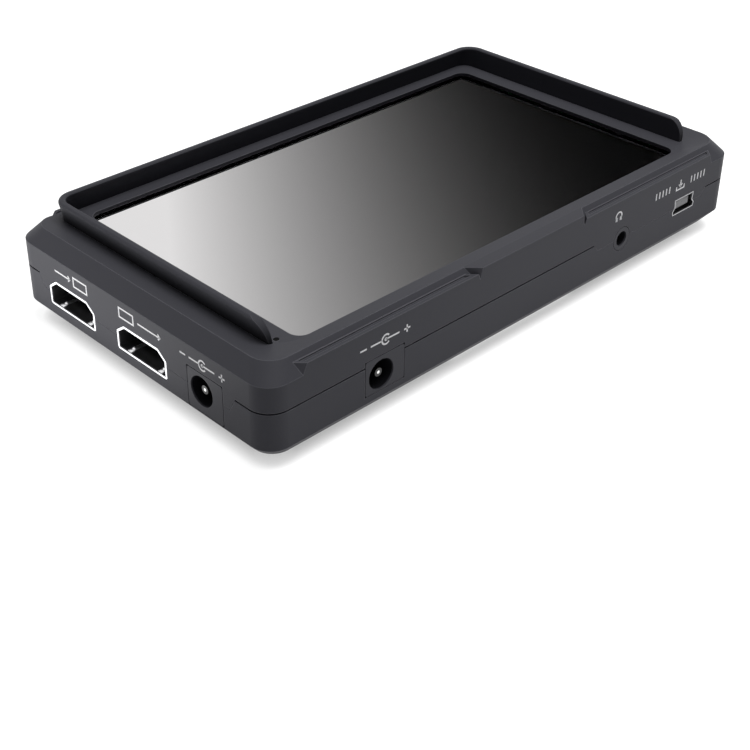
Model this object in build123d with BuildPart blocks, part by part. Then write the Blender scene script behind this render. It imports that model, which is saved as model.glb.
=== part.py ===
"""Camera field monitor with a low sun hood: a 5.5 inch on-camera screen that takes a slide-on camera battery.

Units are millimetres. X runs along the width, Y towards the key edge, Z out of the screen. The monitor lies on
its back, so Z = 0 is the tip of the battery latch's grip and the back face is grip_rise above it. Heights named
below are measured from the back face, and at() turns one into a plane.
"""
from build123d import *
import os

# Housing
body_w = 148.0
body_h = 82.4
body_t = 21.0
corner_r = 5.0
wall = 1.8
front_bevel = 2.8
front_bevel_t = 3.4
front_corner_r = 4.9
back_bevel = 2.8
back_bevel_t = 3.3
back_corner_r = 4.3
fit = 0.15
reach = 2.0

# Joint between the two housing halves
joint_h = 11.7
key_joint_h = 14.7
mid_joint_h = 12.35
joint_groove = 0.38
joint_groove_depth = 0.7
hairline = 0.06
key_joint_end = 7.5
key_joint_run = 2.0
mid_joint_half = 8.8
mid_joint_run = 1.25

# Screen and its frame
frame_side = 14.0
frame_top = 6.9
frame_foot = 6.9
window_r = 2.8
bezel_t = 1.8
dish_drop = 0.9
dish_lip = 0.25
glass_lap = 2.0
gasket_t = 0.2
glass_t = 1.0
glass_edge = 0.2
foam_t = 0.4
cell_t = 1.2
backlight_t = 2.0
tray_t = 0.3
cell_inset = 0.9
gasket_inset = 0.3
gap = 0.1
flex_x = 12.0
flex_out = 0.9
flex_land = 6.0
flex_bend = 0.3

# Sun hood
hood_rise = 4.15
hood_side = 8.6
hood_back = 2.4
hood_wall = 0.9
hood_lean = 1.45
hood_back_lean = 0.65
hood_draft = 0.55
hood_back_draft = 1.35
hood_foot = 9.1
hood_corner_r = 4.8
hood_inner_r = 3.2
hood_end_r = 4.6
hood_rim_r = 0.55
groove_depth = 0.4

# Raised rails in the front bevel
rail_h = 19.95
rail_end = 10.0
rail_slant = 0.47
rail_inner_slant = -0.4
rail_sweep = 1.0
block_depth = 3.7
block_root = 0.6
key_rail_gap = 12.25
foot_rail_gap = 17.4
block_half = 16.2
block_slant = 0.25
trough_w = 0.9
trough_depth = 0.35
rail_lip = 0.85

# Keys
key_count = 4
key_first = 18.5
key_pitch = 13.1
key_h = 8.1
key_w = 6.9
key_t = 5.2
key_r = 0.9
key_gap = 0.4
key_travel = 0.35
key_flange = 0.85
key_flange_t = 0.8
panel_depth = 0.6
panel_top = 13.4
panel_inner = 13.8
panel_outer = 11.3
panel_slope = 0.6
panel_r = 2.7
stem_w = 2.2
well_gap = 0.3
well_depth = 1.5
stem_reach = 2.0
switch_w = 6.0
switch_t = 3.6
switch_depth = 3.4
key_board_t = 1.2
key_board_end = 12.0
key_board_side = 12.0
cap_proud = 0.5
cap_edge = 0.35
key_flex_x = 34.0
key_flex_w = 8.0
guide_w = 1.6
guide_l = 1.4
guide_h = 6.0
guide_xs = (25.0, 51.2)

# Side sockets on the left face
video_w = 16.4
video_t = 6.25
video_side_t = 4.35
video_top_w = 11.3
video_corner_r = 0.6
video_low = 5.65
video_depth = 11.5
video_shell_t = 0.5
video_in_y = 21.6
video_out_y = -2.7
tongue_reach = 7.5
video_back_t = 0.8
video_tongue_w = 11.8
video_tongue_t = 1.3
video_tongue_h = 2.2
leg_w = 1.2
leg_start = 4.0
leg_run = 6.0
dc_w = 10.6
dc_hole_r = 3.35
dc_hole_shift = 1.05
dc_hole_depth = 9.0
dc_pin_r = 0.95
dc_pin_back = 0.8
dc_depth = 12.0
dc_corner_r = 0.6
dc_wing_w = 1.0
dc_wing_t = 0.8
dc_in_y = -23.0
dc_in_low = 3.6
dc_in_top = 12.7
dc_out_x = -43.9
dc_out_low = 4.9
dc_out_top = 12.9
dc_hole_h = 8.6
phone_x = 31.3
phone_h = 9.85
phone_bore_r = 1.8
phone_collar_r = 2.8
phone_body_w = 6.4
phone_body_t = 4.9
phone_depth = 13.0
phone_bore_l = 12.0
phone_collar_l = 2.4
usb_x = 55.3
usb_low = 8.25
usb_t = 4.0
usb_shell_t = 0.25
usb_depth = 8.0
usb_leg_reach = 2.6
usb_leg_run = 3.5
usb_tongue_w = 5.2
usb_tongue_t = 1.85
usb_tongue_h = 2.1
usb_tongue_back = 0.6
usb_half_top = 3.75
usb_half_waist = 3.55
usb_half_low = 4.35
usb_waist_h = 1.95
usb_shoulder_h = 1.05
usb_foot_cut = 0.3
side_joint_h = 8.75
foot_joint_h = 10.0
side_joint_from = -30.4
side_joint_to = 33.4
foot_joint_from = 22.8
foot_joint_to = 63.9
side_joint_run = 1.6

# Battery bay, plate and latch in the back
bay_w = 39.4
bay_l = 66.0
bay_depth = 4.6
bay_wall = 1.4
plate_t = 1.4
plate_gap = 0.3
hook_l = 7.0
hook_t = 2.0
hook_lip = 1.2
hook_rise = 3.6
hook_lip_t = 1.3
hook_start = 12.0
hook_pitch = 32.0
terminal_w = 22.0
terminal_l = 4.2
terminal_rise = 3.4
blade_w = 1.0
blade_t = 2.2
blade_reach = 3.0
blade_pitch = 7.0
plate_screw_start = 9.0
plate_screw_pitch = 40.0
grip_rise = 2.05
latch_w = 12.0
latch_travel = 2.0
latch_gap = 0.25
grip_start = 2.6
grip_l = 4.6
latch_reach = 8.2
latch_roof_gap = 0.2
pocket_side = 1.2
pocket_foot = 1.6
pocket_end = 1.1
wing_place = 3.0
tooth_l = 2.4
tooth_rise = 1.5
tongue_t = 1.3
wing = 1.3
wing_t = 0.9
wing_l = 4.0
ridge_count = 7
ridge_h = 0.55
ridge_w = 0.85
spring_r = 1.25
spring_wire_r = 0.25
spring_turns = 4
spring_seat_h = 1.2
spring_room_r = 1.8
retainer_t = 1.0
post_w = 3.2
peg_w = 1.6
peg_l = 1.6
small_screw_r = 0.9
tooth_w = 5.0
ridge_pitch = 1.63
hook_out = 16.4

# Mounting pad
pad_x = 52.0
pad_y = 0.0
pad_r = 6.9
pad_rise = 0.9
insert_r = 4.2
insert_l = 6.5
thread_r = 2.6
insert_wall = 1.6

# Fasteners, boards and small inner pieces
case_screw_side = 6.8
case_screw_foot = 6.6
boss_r = 2.7
post_joint_h = 9.7
screw_r = 1.0
screw_head_r = 2.2
screw_head_t = 1.2
head_recess = 0.5
case_screw_l = 13.5
board_screw_side = 7.2
board_screw_y = 9.4
board_screw_pitch = 23.7
board_screw_l = 5.2
plate_screw_l = 1.9
plate_screw_head_r = 1.8
plate_screw_head_t = 0.8
thread_gap = 0.05
hole_spare = 0.5
board_t = 1.2
board_h = 12.4
board_side = 3.6
board_foot = 3.0
board_top = 11.2
light_r = 0.65
light_side = 10.9
light_foot = 9.75
led_w = 1.6
led_l = 0.8
led_t = 0.6
board_gap = 0.3
board_corner = 6.0
chip_w = 14.0
chip_t = 1.2
chip_x = -38.0
chip_y = 6.0
sink_w = 22.0
sink_base = 1.0
fin_h = 2.2
fin_t = 0.8
fin_count = 6
coil_w = 6.5
coil_t = 3.0
capacitor_r = 1.9
capacitor_t = 4.2
small_chip_w = 6.0
small_chip_t = 0.9
coil_places = [(38.0, -14.0), (46.5, -14.0), (55.0, -14.0)]
capacitor_places = [(29.0, -10.0), (29.0, -16.0)]
small_chip_places = [(-22.0, 14.0), (-22.0, -2.0), (40.0, 8.0), (28.0, 8.0)]
flex_t = 0.15
flex_w = 14.0
vent_l = 12.0
vent_w = 1.4
vent_pitch = 3.2
vent_gap = 2.0
vent_count = 6

# Places worked out from the sizes above
half_w = body_w / 2
half_h = body_h / 2
bevel_start = body_t - front_bevel_t
bezel_under = body_t - bezel_t
window_x = half_w - frame_side
window_low = frame_foot - half_h
window_high = half_h - frame_top
window_y = (window_low + window_high) / 2
window_h = window_high - window_low
floor_h = body_t - dish_drop
hood_x = half_w - hood_side
hood_y = half_h - hood_back
hood_end = hood_foot - half_h
hood_inner_x = hood_x - hood_wall
hood_inner_y = hood_y - hood_wall
hood_tip_h = body_t + hood_rise
hood_seat = floor_h - groove_depth
glass_top = bezel_under - gasket_t
glass_under = glass_top - glass_t
cell_top = glass_under - foam_t
cell_under = cell_top - cell_t
backlight_under = cell_under - backlight_t
tray_under = backlight_under - tray_t
panel_face = half_h - panel_depth
key_wall_in = half_h - wall
cap_flange_y = key_wall_in - 2 * fit
stem_top_y = cap_flange_y - key_flange_t
switch_face_y = stem_top_y - stem_reach
stem_low_y = switch_face_y + 2 * gap + key_travel - well_depth
switch_back_y = switch_face_y - switch_depth
key_board_y = switch_back_y - key_board_t
bay_high = key_board_y - board_gap - bay_wall
bay_low = bay_high - bay_l
bay_y = (bay_low + bay_high) / 2
hook_front = bay_low + hook_start
plate_screw_low = bay_low + plate_screw_start
grip_low = bay_high + grip_start
latch_tip = bay_high - latch_reach
key_xs = [side * (key_first + i * key_pitch) for side in (-1, 1) for i in range(key_count)]
plate_under = bay_depth + plate_t
floor_top = plate_under + bay_wall
tongue_top = plate_under + fit
wing_top = tongue_top + wing_t
latch_roof = wing_top + latch_travel + latch_roof_gap
grip_y = grip_low + grip_l / 2
light_x = light_side - half_w
light_y = light_foot - half_h
case_screw_x = half_w - case_screw_side
case_screw_y = half_h - case_screw_foot
board_screw_x = half_w - board_screw_side
rail_x = half_w - rail_end
board_top_y = half_h - board_top
board_foot_y = board_foot - half_h
boss_room = boss_r + board_gap
key_board_x = half_w - key_board_side
cap_face_y = panel_face + cap_proud
key_names = ["function_key_1", "function_key_2", "left_key", "right_key", "menu_key", "down_key", "up_key",
             "power_key"]
hook_places = [(side * hook_out, hook_front + row * hook_pitch) for side in (-1, 1) for row in (0, 1)]


def at(height):
    """Horizontal plane at a height above the back face."""
    return Plane.XY.offset(grip_rise + height)


def facing_y(y):
    """Upright plane across the width at a place along Y. A positive extrusion runs towards -Y."""
    return Plane((0, y, grip_rise), x_dir=(1, 0, 0), z_dir=(0, -1, 0))


def facing_x(x):
    """Upright plane along the height at a place along X. A positive extrusion runs towards +X."""
    return Plane((x, 0, grip_rise), x_dir=(0, 1, 0), z_dir=(1, 0, 0))


def save(piece, name):
    """Label a finished piece and write it as its own file."""
    piece.part.label = name
    export_step(piece.part, f"parts/{name}.step")


def inset_at(height):
    """How far the housing's outer face stands in from its widest outline at a height."""
    if height > bevel_start:
        return front_bevel * (height - bevel_start) / front_bevel_t
    return back_bevel * max(back_bevel_t - height, 0) / back_bevel_t


def housing_form(inset, low, high):
    """The housing's bevelled form between two heights, moved in by an inset."""
    def outline(height, radius):
        inward = 2 * (inset + inset_at(height))
        with BuildSketch(at(height)) as outline_sketch:
            RectangleRounded(body_w - inward, body_h - inward, radius - inset / 2)
        return outline_sketch.sketch

    with BuildPart() as form:
        loft([outline(low, back_corner_r), outline(back_bevel_t, corner_r)], ruled=True)
        loft([outline(back_bevel_t, corner_r), outline(bevel_start, corner_r)], ruled=True)
        loft([outline(bevel_start, corner_r), outline(high, front_corner_r)], ruled=True)
    return form.part


def sheared(low_end, high_end, top, side):
    """A block that fills the bevel along one edge. Each end is a place at the top of the outer face, a shift
    per unit down and a shift per unit behind that face."""
    def level(height):
        near, far = side * half_h, side * (half_h - block_depth)
        low = low_end[0] + low_end[1] * (top - height)
        high = high_end[0] + high_end[1] * (top - height)
        with BuildSketch(at(height)) as level_sketch:
            with BuildLine():
                Polyline((low, near), (high, near), (high + high_end[2] * block_depth, far),
                         (low + low_end[2] * block_depth, far), close=True)
            make_face()
        return level_sketch.sketch

    with BuildPart() as block:
        loft([level(bevel_start - block_root), level(top)], ruled=True)
    return block.part


def hood_outline(height, half, low, top, radius):
    """An outline of the hood at a height, with rounded corners at its key end only."""
    with BuildSketch(at(height)) as hood_plan:
        with Locations((0, (low + top) / 2)):
            Rectangle(2 * half, top - low)
        fillet(hood_plan.vertices().group_by(Axis.Y)[-1], radius)
    return hood_plan.sketch


def box_between(x, y, h):
    """A plain block from ranges along X and Y and of heights above the back face."""
    with BuildPart() as block:
        with BuildSketch(at(h[0])):
            with Locations(((x[0] + x[1]) / 2, (y[0] + y[1]) / 2)):
                Rectangle(x[1] - x[0], y[1] - y[0])
        extrude(amount=h[1] - h[0])
    return block.part


def rail(gap, side):
    """One raised rail on the +X half of an edge, with its closed trough."""
    solid = sheared((gap, rail_inner_slant, rail_sweep), (rail_x, rail_slant, rail_sweep), rail_h, side)
    start, end = rail_lip, rail_lip + trough_w
    with BuildPart() as trough:
        with BuildSketch(at(rail_h - trough_depth)):
            with BuildLine():
                Polyline((gap + rail_lip + start, side * (half_h - start)),
                         (rail_x - rail_lip + start, side * (half_h - start)),
                         (rail_x - rail_lip + end, side * (half_h - end)),
                         (gap + rail_lip + end, side * (half_h - end)), close=True)
            make_face()
        extrude(amount=trough_depth + fit)
    return solid, trough.part


def video_outline(y, grow):
    """A socket's outline on an upright plane across X: wide towards the back, with two cut corners."""
    half = video_w / 2
    with BuildSketch(facing_x(-half_w)) as socket:
        with BuildLine():
            Polyline((y - half, video_low), (y + half, video_low), (y + half, video_low + video_side_t),
                     (y + video_top_w / 2, video_low + video_t), (y - video_top_w / 2, video_low + video_t),
                     (y - half, video_low + video_side_t), close=True)
        make_face()
        fillet(socket.vertices(), video_corner_r)
        if grow:
            offset(amount=grow)
    return socket.sketch


def usb_outline(grow):
    """The service socket's outline on the bottom face, with its pinched sides."""
    half_foot = usb_half_low - usb_foot_cut
    top, waist, shoulder = usb_low + usb_t, usb_low + usb_waist_h, usb_low + usb_shoulder_h
    with BuildSketch(facing_y(-half_h)) as socket:
        with BuildLine():
            Polyline((usb_x - usb_half_top, top), (usb_x - usb_half_waist, waist),
                     (usb_x - usb_half_low, shoulder), (usb_x - half_foot, usb_low),
                     (usb_x + half_foot, usb_low), (usb_x + usb_half_low, shoulder),
                     (usb_x + usb_half_waist, waist), (usb_x + usb_half_top, top), close=True)
        make_face()
        if grow:
            offset(amount=grow, kind=Kind.INTERSECTION)
    return socket.sketch


os.makedirs("parts", exist_ok=True)

# Cutting forms that both housing halves share
outer = housing_form(0, 0, body_t)
cavity = housing_form(wall, wall, bezel_under)

key_joint_x = half_w - key_joint_end
key_joint_inner = mid_joint_half + mid_joint_run
key_joint_points = [
    (-key_joint_x, joint_h), (key_joint_run - key_joint_x, key_joint_h), (-key_joint_inner, key_joint_h),
    (-mid_joint_half, mid_joint_h), (mid_joint_half, mid_joint_h), (key_joint_inner, key_joint_h),
    (key_joint_x - key_joint_run, key_joint_h), (key_joint_x, joint_h)]
side_joint_points = [
    (side_joint_from - side_joint_run, joint_h), (side_joint_from, side_joint_h),
    (side_joint_to - side_joint_run, side_joint_h), (side_joint_to, joint_h)]
foot_joint_points = [
    (foot_joint_from - side_joint_run, joint_h), (foot_joint_from, foot_joint_h),
    (foot_joint_to - side_joint_run, foot_joint_h), (foot_joint_to, joint_h)]

with BuildPart() as lower_half:
    with BuildSketch(at(-pad_rise - reach)):
        Rectangle(body_w + 2 * reach, body_h + 2 * reach)
    extrude(amount=pad_rise + reach + joint_h)
    with BuildSketch(facing_y(half_h + reach)):
        with BuildLine():
            Polyline((-key_joint_x, joint_h - wall), *key_joint_points, (key_joint_x, joint_h - wall),
                     close=True)
        make_face()
    extrude(amount=reach + wall + fit)
    with BuildSketch(facing_x(-half_w - reach)):
        with BuildLine():
            Polyline(*side_joint_points, close=True)
        make_face()
    extrude(amount=reach + wall + fit, mode=Mode.SUBTRACT)
    with BuildSketch(facing_y(-half_h + wall + fit)):
        with BuildLine():
            Polyline(*foot_joint_points, close=True)
        make_face()
    extrude(amount=reach + wall + fit, mode=Mode.SUBTRACT)

with BuildPart() as seam:
    with BuildSketch(at(joint_h - joint_groove / 2)):
        RectangleRounded(body_w + 2 * reach, body_h + 2 * reach, corner_r)
        RectangleRounded(body_w - 2 * joint_groove_depth, body_h - 2 * joint_groove_depth,
                         corner_r - joint_groove_depth, mode=Mode.SUBTRACT)
        with Locations((0, half_h)):
            Rectangle(2 * key_joint_x, 2 * corner_r, mode=Mode.SUBTRACT)
        with Locations((-half_w, (side_joint_from - side_joint_run + side_joint_to) / 2)):
            Rectangle(2 * wall, side_joint_to - side_joint_from + side_joint_run, mode=Mode.SUBTRACT)
        with Locations(((foot_joint_from - side_joint_run + foot_joint_to) / 2, -half_h)):
            Rectangle(foot_joint_to - foot_joint_from + side_joint_run, 2 * wall, mode=Mode.SUBTRACT)
    extrude(amount=joint_groove)
    with BuildSketch(facing_y(half_h + reach)):
        with BuildLine():
            Polyline(*key_joint_points)
        trace(line_width=joint_groove)
    extrude(amount=reach + joint_groove_depth)
    with BuildSketch(facing_x(-half_w - reach)):
        with BuildLine():
            Polyline(*side_joint_points)
        trace(line_width=hairline)
    extrude(amount=reach + hairline)
    with BuildSketch(facing_y(-half_h + hairline)):
        with BuildLine():
            Polyline(*foot_joint_points)
        trace(line_width=hairline)
    extrude(amount=reach + hairline)

with BuildPart() as ports:
    for socket_y in (video_in_y, video_out_y):
        extrude(video_outline(socket_y, fit), amount=wall + reach, both=True)
    extrude(usb_outline(fit), amount=wall + reach, both=True)
    add(box_between((-half_w - reach, -half_w + dc_depth),
                    (dc_in_y - dc_w / 2 - fit, dc_in_y + dc_w / 2 + fit),
                    (dc_in_low - fit, dc_in_top + fit)))
    add(box_between((dc_out_x - dc_w / 2 - fit, dc_out_x + dc_w / 2 + fit),
                    (-half_h - reach, -half_h + dc_depth),
                    (dc_out_low - fit, dc_out_top + fit)))
    with BuildSketch(facing_y(-half_h + wall + fit)):
        with Locations((phone_x, phone_h)):
            Circle(phone_collar_r + fit)
    extrude(amount=wall + fit + reach)

def dish_outline(height, half, low):
    """An outline of the sunken screen surround. It runs out past the key edge."""
    with BuildSketch(at(height)) as surround:
        with Locations((0, (low + half_h + corner_r) / 2)):
            Rectangle(2 * half, half_h + corner_r - low)
        fillet(surround.vertices().group_by(Axis.Y)[0], front_corner_r - dish_lip)
    return surround.sketch


with BuildPart() as dish_cut:
    rim_x = half_w - front_bevel - dish_lip
    rim_low = front_bevel + dish_lip - half_h
    loft([dish_outline(floor_h, hood_inner_x, window_low), dish_outline(body_t, rim_x, rim_low)], ruled=True)

with BuildPart() as window_cut:
    with BuildSketch(at(bezel_under - fit)) as window_plan:
        with Locations((0, window_y)):
            RectangleRounded(2 * window_x, window_h, window_r)
    extrude(amount=bezel_t + 2 * fit)

with BuildPart() as hood_groove:
    extrude(hood_outline(hood_seat, hood_x + fit, hood_end - fit, hood_y + fit, hood_corner_r + fit),
            amount=bezel_t)
    extrude(hood_outline(hood_seat, hood_inner_x - fit, -half_h, hood_inner_y - fit, hood_inner_r - fit),
            amount=bezel_t, mode=Mode.SUBTRACT)

case_screw_places = GridLocations(2 * case_screw_x, 2 * case_screw_y, 2, 2)
plate_screw_places = [(0, plate_screw_low + row * plate_screw_pitch) for row in (0, 1)]
board_screw_places = [(side * board_screw_x, board_screw_y - row * board_screw_pitch)
                      for side in (-1, 1) for row in (0, 1)]

# Front half of the housing
key_rail, key_trough = rail(key_rail_gap, 1)
foot_rail, foot_trough = rail(foot_rail_gap, -1)
middle_block = sheared((-block_half, -block_slant, -rail_sweep), (block_half, block_slant, rail_sweep),
                       body_t, -1)

with BuildPart() as front_shell:
    add(outer)
    for solid in (key_rail, foot_rail):
        add(solid)
        add(mirror(solid, about=Plane.YZ, mode=Mode.PRIVATE))
    add(middle_block)
    for solid in (key_trough, foot_trough):
        add(solid, mode=Mode.SUBTRACT)
        add(mirror(solid, about=Plane.YZ, mode=Mode.PRIVATE), mode=Mode.SUBTRACT)
    add(cavity, mode=Mode.SUBTRACT)
    with BuildSketch(at(post_joint_h)):
        with case_screw_places:
            Circle(boss_r)
    extrude(amount=bezel_under - post_joint_h)
    with BuildSketch(at(board_h + board_t)):
        with Locations(*board_screw_places):
            Circle(boss_r)
    extrude(amount=bezel_under - board_h - board_t)
    add(lower_half.part, mode=Mode.SUBTRACT)
    add(seam.part, mode=Mode.SUBTRACT)
    add(ports.part, mode=Mode.SUBTRACT)
    add(dish_cut.part, mode=Mode.SUBTRACT)
    add(window_cut.part, mode=Mode.SUBTRACT)
    add(hood_groove.part, mode=Mode.SUBTRACT)
    with BuildSketch(at(bezel_under - fit)):
        with Locations((light_x, light_y)):
            Circle(light_r)
    extrude(amount=bezel_t + 2 * fit, mode=Mode.SUBTRACT)
    with BuildSketch(at(0)):
        with case_screw_places:
            Circle(screw_r + thread_gap)
    extrude(amount=head_recess + screw_head_t + case_screw_l + hole_spare, mode=Mode.SUBTRACT)
    with BuildSketch(at(board_h)):
        with Locations(*board_screw_places):
            Circle(screw_r + thread_gap)
    extrude(amount=board_screw_l + hole_spare, mode=Mode.SUBTRACT)
save(front_shell, "front_shell")

# Rear half of the housing, with the battery bay, latch pocket and screw posts
latch_room = latch_w / 2 + latch_gap
wing_room = latch_room + wing
pocket_x = wing_room + pocket_side
pocket_low = latch_tip - pocket_foot
pocket_high = grip_low + grip_l + latch_gap + pocket_end
wing_y = bay_high - wing_place
peg_places = [(side * (pocket_x + post_w / 2 - fit), wing_y) for side in (-1, 1)]
guide_places = [(side * x, key_board_y - guide_l / 2) for side in (-1, 1) for x in guide_xs]

with BuildPart() as key_panels:
    panel_x = half_w - panel_outer
    with BuildSketch(facing_y(panel_face)) as panel_plan:
        drop = panel_top + reach
        with BuildLine():
            Polyline((panel_inner - panel_slope * drop, -reach), (panel_inner, panel_top),
                     (panel_x, panel_top), (panel_x + panel_slope * drop, -reach), close=True)
        make_face()
        fillet(panel_plan.vertices().group_by(Axis.Z)[-1], panel_r)
        mirror(about=Plane.YZ)
    extrude(amount=-panel_depth - reach)
    with BuildSketch(facing_y(half_h + reach)):
        with Locations(*[(x, key_h) for x in key_xs]):
            RectangleRounded(key_w + 2 * key_gap, key_t + 2 * key_gap, key_r + key_gap)
    extrude(amount=reach + wall + fit)

with BuildPart() as rear_shell:
    add(outer)
    add(lower_half.part, mode=Mode.INTERSECT)
    add(cavity, mode=Mode.SUBTRACT)
    add(box_between((-bay_w / 2 - bay_wall, bay_w / 2 + bay_wall), (bay_low - bay_wall, bay_high + bay_wall),
                    (wall / 2, floor_top)))
    add(box_between((-pocket_x, pocket_x), (pocket_low, pocket_high), (wall / 2, latch_roof)))
    add(box_between((-bay_w / 2, bay_w / 2), (bay_low, bay_high), (-reach, plate_under)), mode=Mode.SUBTRACT)
    latch_run = (latch_tip - latch_gap, grip_low + grip_l + latch_gap)
    add(box_between((-latch_room, latch_room), latch_run, (bay_depth, latch_roof)), mode=Mode.SUBTRACT)
    add(box_between((-latch_room, latch_room), (grip_low - latch_gap, latch_run[1]), (-reach, latch_roof)),
        mode=Mode.SUBTRACT)
    add(box_between((-wing_room, wing_room), (wing_y - wing_l / 2 - latch_gap, wing_y + wing_l / 2 + latch_gap),
                    (plate_under, latch_roof)), mode=Mode.SUBTRACT)
    with BuildSketch(at(wall / 2)):
        with case_screw_places:
            Circle(boss_r)
    extrude(amount=post_joint_h - fit - wall / 2)
    with BuildSketch(at(-pad_rise)):
        with Locations((pad_x, pad_y)):
            Circle(pad_r)
    extrude(amount=pad_rise + wall)
    with BuildSketch(at(0)):
        with Locations((pad_x, pad_y)):
            Circle(insert_r + insert_wall)
    extrude(amount=insert_l)
    with BuildSketch(at(-pad_rise)):
        with Locations((pad_x, pad_y)):
            Circle(insert_r)
    extrude(amount=insert_l, mode=Mode.SUBTRACT)
    with BuildSketch(at(0)):
        with Locations((pad_x, pad_y)):
            Circle(thread_r + fit)
    extrude(amount=insert_l, mode=Mode.SUBTRACT)
    with BuildSketch(at(wall / 2)):
        with Locations(*guide_places):
            Rectangle(guide_w, guide_l)
    extrude(amount=guide_h)
    with BuildSketch(at(plate_under + bay_wall / 2)):
        with Locations(*peg_places):
            Rectangle(post_w, post_w)
    extrude(amount=latch_roof - plate_under - bay_wall / 2)
    with BuildSketch(at(latch_roof - peg_l)):
        with Locations(*peg_places):
            Rectangle(peg_w + 2 * thread_gap, peg_w + 2 * thread_gap)
    extrude(amount=peg_l, mode=Mode.SUBTRACT)
    add(key_panels.part, mode=Mode.SUBTRACT)
    add(ports.part, mode=Mode.SUBTRACT)
    add(seam.part, mode=Mode.SUBTRACT)
    with BuildSketch(at(-reach)):
        with case_screw_places:
            Circle(screw_head_r + fit)
    extrude(amount=reach + head_recess + screw_head_t, mode=Mode.SUBTRACT)
    with BuildSketch(at(0)):
        with case_screw_places:
            Circle(screw_r + fit)
    extrude(amount=joint_h, mode=Mode.SUBTRACT)
    with BuildSketch(at(0)):
        with Locations((chip_x, chip_y)):
            with GridLocations(vent_l + vent_gap, vent_pitch, 2, vent_count):
                Rectangle(vent_l, vent_w)
    extrude(amount=wall, mode=Mode.SUBTRACT)
    with BuildSketch(at(plate_under)):
        with Locations(*plate_screw_places):
            Circle(small_screw_r + thread_gap)
    extrude(amount=bay_wall, mode=Mode.SUBTRACT)
save(rear_shell, "rear_shell")


def stack_outline(height, inset):
    """The screen stack's outline at a height, moved in by an inset."""
    with BuildSketch(at(height)) as outline:
        with Locations((0, window_y)):
            Rectangle(2 * (window_x + glass_lap - inset), window_h + 2 * (glass_lap - inset))
    return outline.sketch


def screws(places, seat, head_r, head_t, shank_r, shank_l):
    """Screws whose heads lie below a seat, with their shanks pointing up."""
    with BuildPart() as screw_set:
        with BuildSketch(at(seat - head_t)):
            with places:
                Circle(head_r)
        extrude(amount=head_t)
        with BuildSketch(at(seat)):
            with places:
                Circle(shank_r)
        extrude(amount=shank_l)
    return screw_set


# Sun hood: a three-sided wall with a rounded rim, standing in a groove around the screen
with BuildPart() as sun_hood:
    extrude(hood_outline(hood_seat, hood_x, hood_end, hood_y, hood_corner_r), amount=groove_depth)
    loft([hood_outline(floor_h, hood_x, hood_end, hood_y, hood_corner_r),
          hood_outline(hood_tip_h, hood_x + hood_lean, hood_end, hood_y - hood_back_lean, hood_corner_r)],
         ruled=True)
    loft([hood_outline(hood_seat, hood_inner_x, -half_h, hood_inner_y, hood_inner_r),
          hood_outline(hood_tip_h, hood_inner_x + hood_draft, -half_h, hood_inner_y - hood_back_draft,
                       hood_inner_r)], ruled=True, mode=Mode.SUBTRACT)
    rim_edges = sun_hood.faces().sort_by(Axis.Z)[-1].edges().sort_by(Axis.Y)
    fillet(rim_edges[2:], hood_rim_r)
    with BuildSketch(facing_x(-half_w)):
        with Locations((hood_end, hood_tip_h)):
            Rectangle(2 * hood_end_r, 2 * hood_end_r)
        with Locations((hood_end + hood_end_r, hood_tip_h - hood_end_r)):
            Circle(hood_end_r, mode=Mode.SUBTRACT)
    extrude(amount=body_w, mode=Mode.SUBTRACT)
save(sun_hood, "sun_hood")

# Screen stack, from the glass down to the tray
with BuildPart() as cover_glass:
    extrude(stack_outline(glass_under, 0), amount=glass_t)
    chamfer(cover_glass.edges().group_by(Axis.Z)[-1], glass_edge)
save(cover_glass, "cover_glass")

with BuildPart() as glass_gasket:
    extrude(stack_outline(glass_top, gasket_inset), amount=gasket_t)
    extrude(stack_outline(glass_top, glass_lap - gasket_inset), amount=gasket_t, mode=Mode.SUBTRACT)
save(glass_gasket, "glass_gasket")

with BuildPart() as foam_seal:
    extrude(stack_outline(cell_top, cell_inset), amount=foam_t)
    extrude(stack_outline(cell_top, glass_lap - gasket_inset), amount=foam_t, mode=Mode.SUBTRACT)
save(foam_seal, "foam_seal")

with BuildPart() as lcd_cell:
    extrude(stack_outline(cell_under, tray_t + gap), amount=cell_t)
save(lcd_cell, "lcd_cell")

with BuildPart() as backlight_unit:
    extrude(stack_outline(backlight_under, tray_t + gap), amount=backlight_t)
save(backlight_unit, "backlight_unit")

with BuildPart() as lcd_tray:
    extrude(stack_outline(tray_under, 0), amount=cell_top - tray_under - gap)
    extrude(stack_outline(backlight_under, tray_t), amount=cell_top, mode=Mode.SUBTRACT)
    add(box_between((flex_x - flex_w / 2 - gap, flex_x + flex_w / 2 + gap), (-half_h, window_low),
                    (backlight_under, cell_top)), mode=Mode.SUBTRACT)
save(lcd_tray, "lcd_tray")


def flat_cable(path, start, width, bend):
    """A flat cable that follows a path of places along Y and heights, from one place along X to the next."""
    with BuildPart() as cable:
        with BuildSketch(facing_x(start)):
            with BuildLine():
                FilletPolyline(*path, radius=bend)
            trace(line_width=flex_t)
        extrude(amount=width)
    return cable


cell_foot_y = window_low - glass_lap + tray_t + gap
flex_mid = flex_t / 2
lcd_flex = flat_cable([(cell_foot_y, cell_under + cell_t / 2),
                       (cell_foot_y - flex_out, cell_under + cell_t / 2),
                       (cell_foot_y - flex_out, board_h + board_t + flex_mid),
                       (cell_foot_y + flex_land, board_h + board_t + flex_mid)],
                      flex_x - flex_w / 2, flex_w, flex_bend)
save(lcd_flex, "lcd_flex")

key_flex = flat_cable([(key_board_y - flex_mid, key_h), (key_board_y - flex_mid, board_h - flex_mid),
                       (board_top_y - flex_land, board_h - flex_mid)],
                      key_flex_x - key_flex_w / 2, key_flex_w, flex_bend)
save(key_flex, "key_flex")

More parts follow.
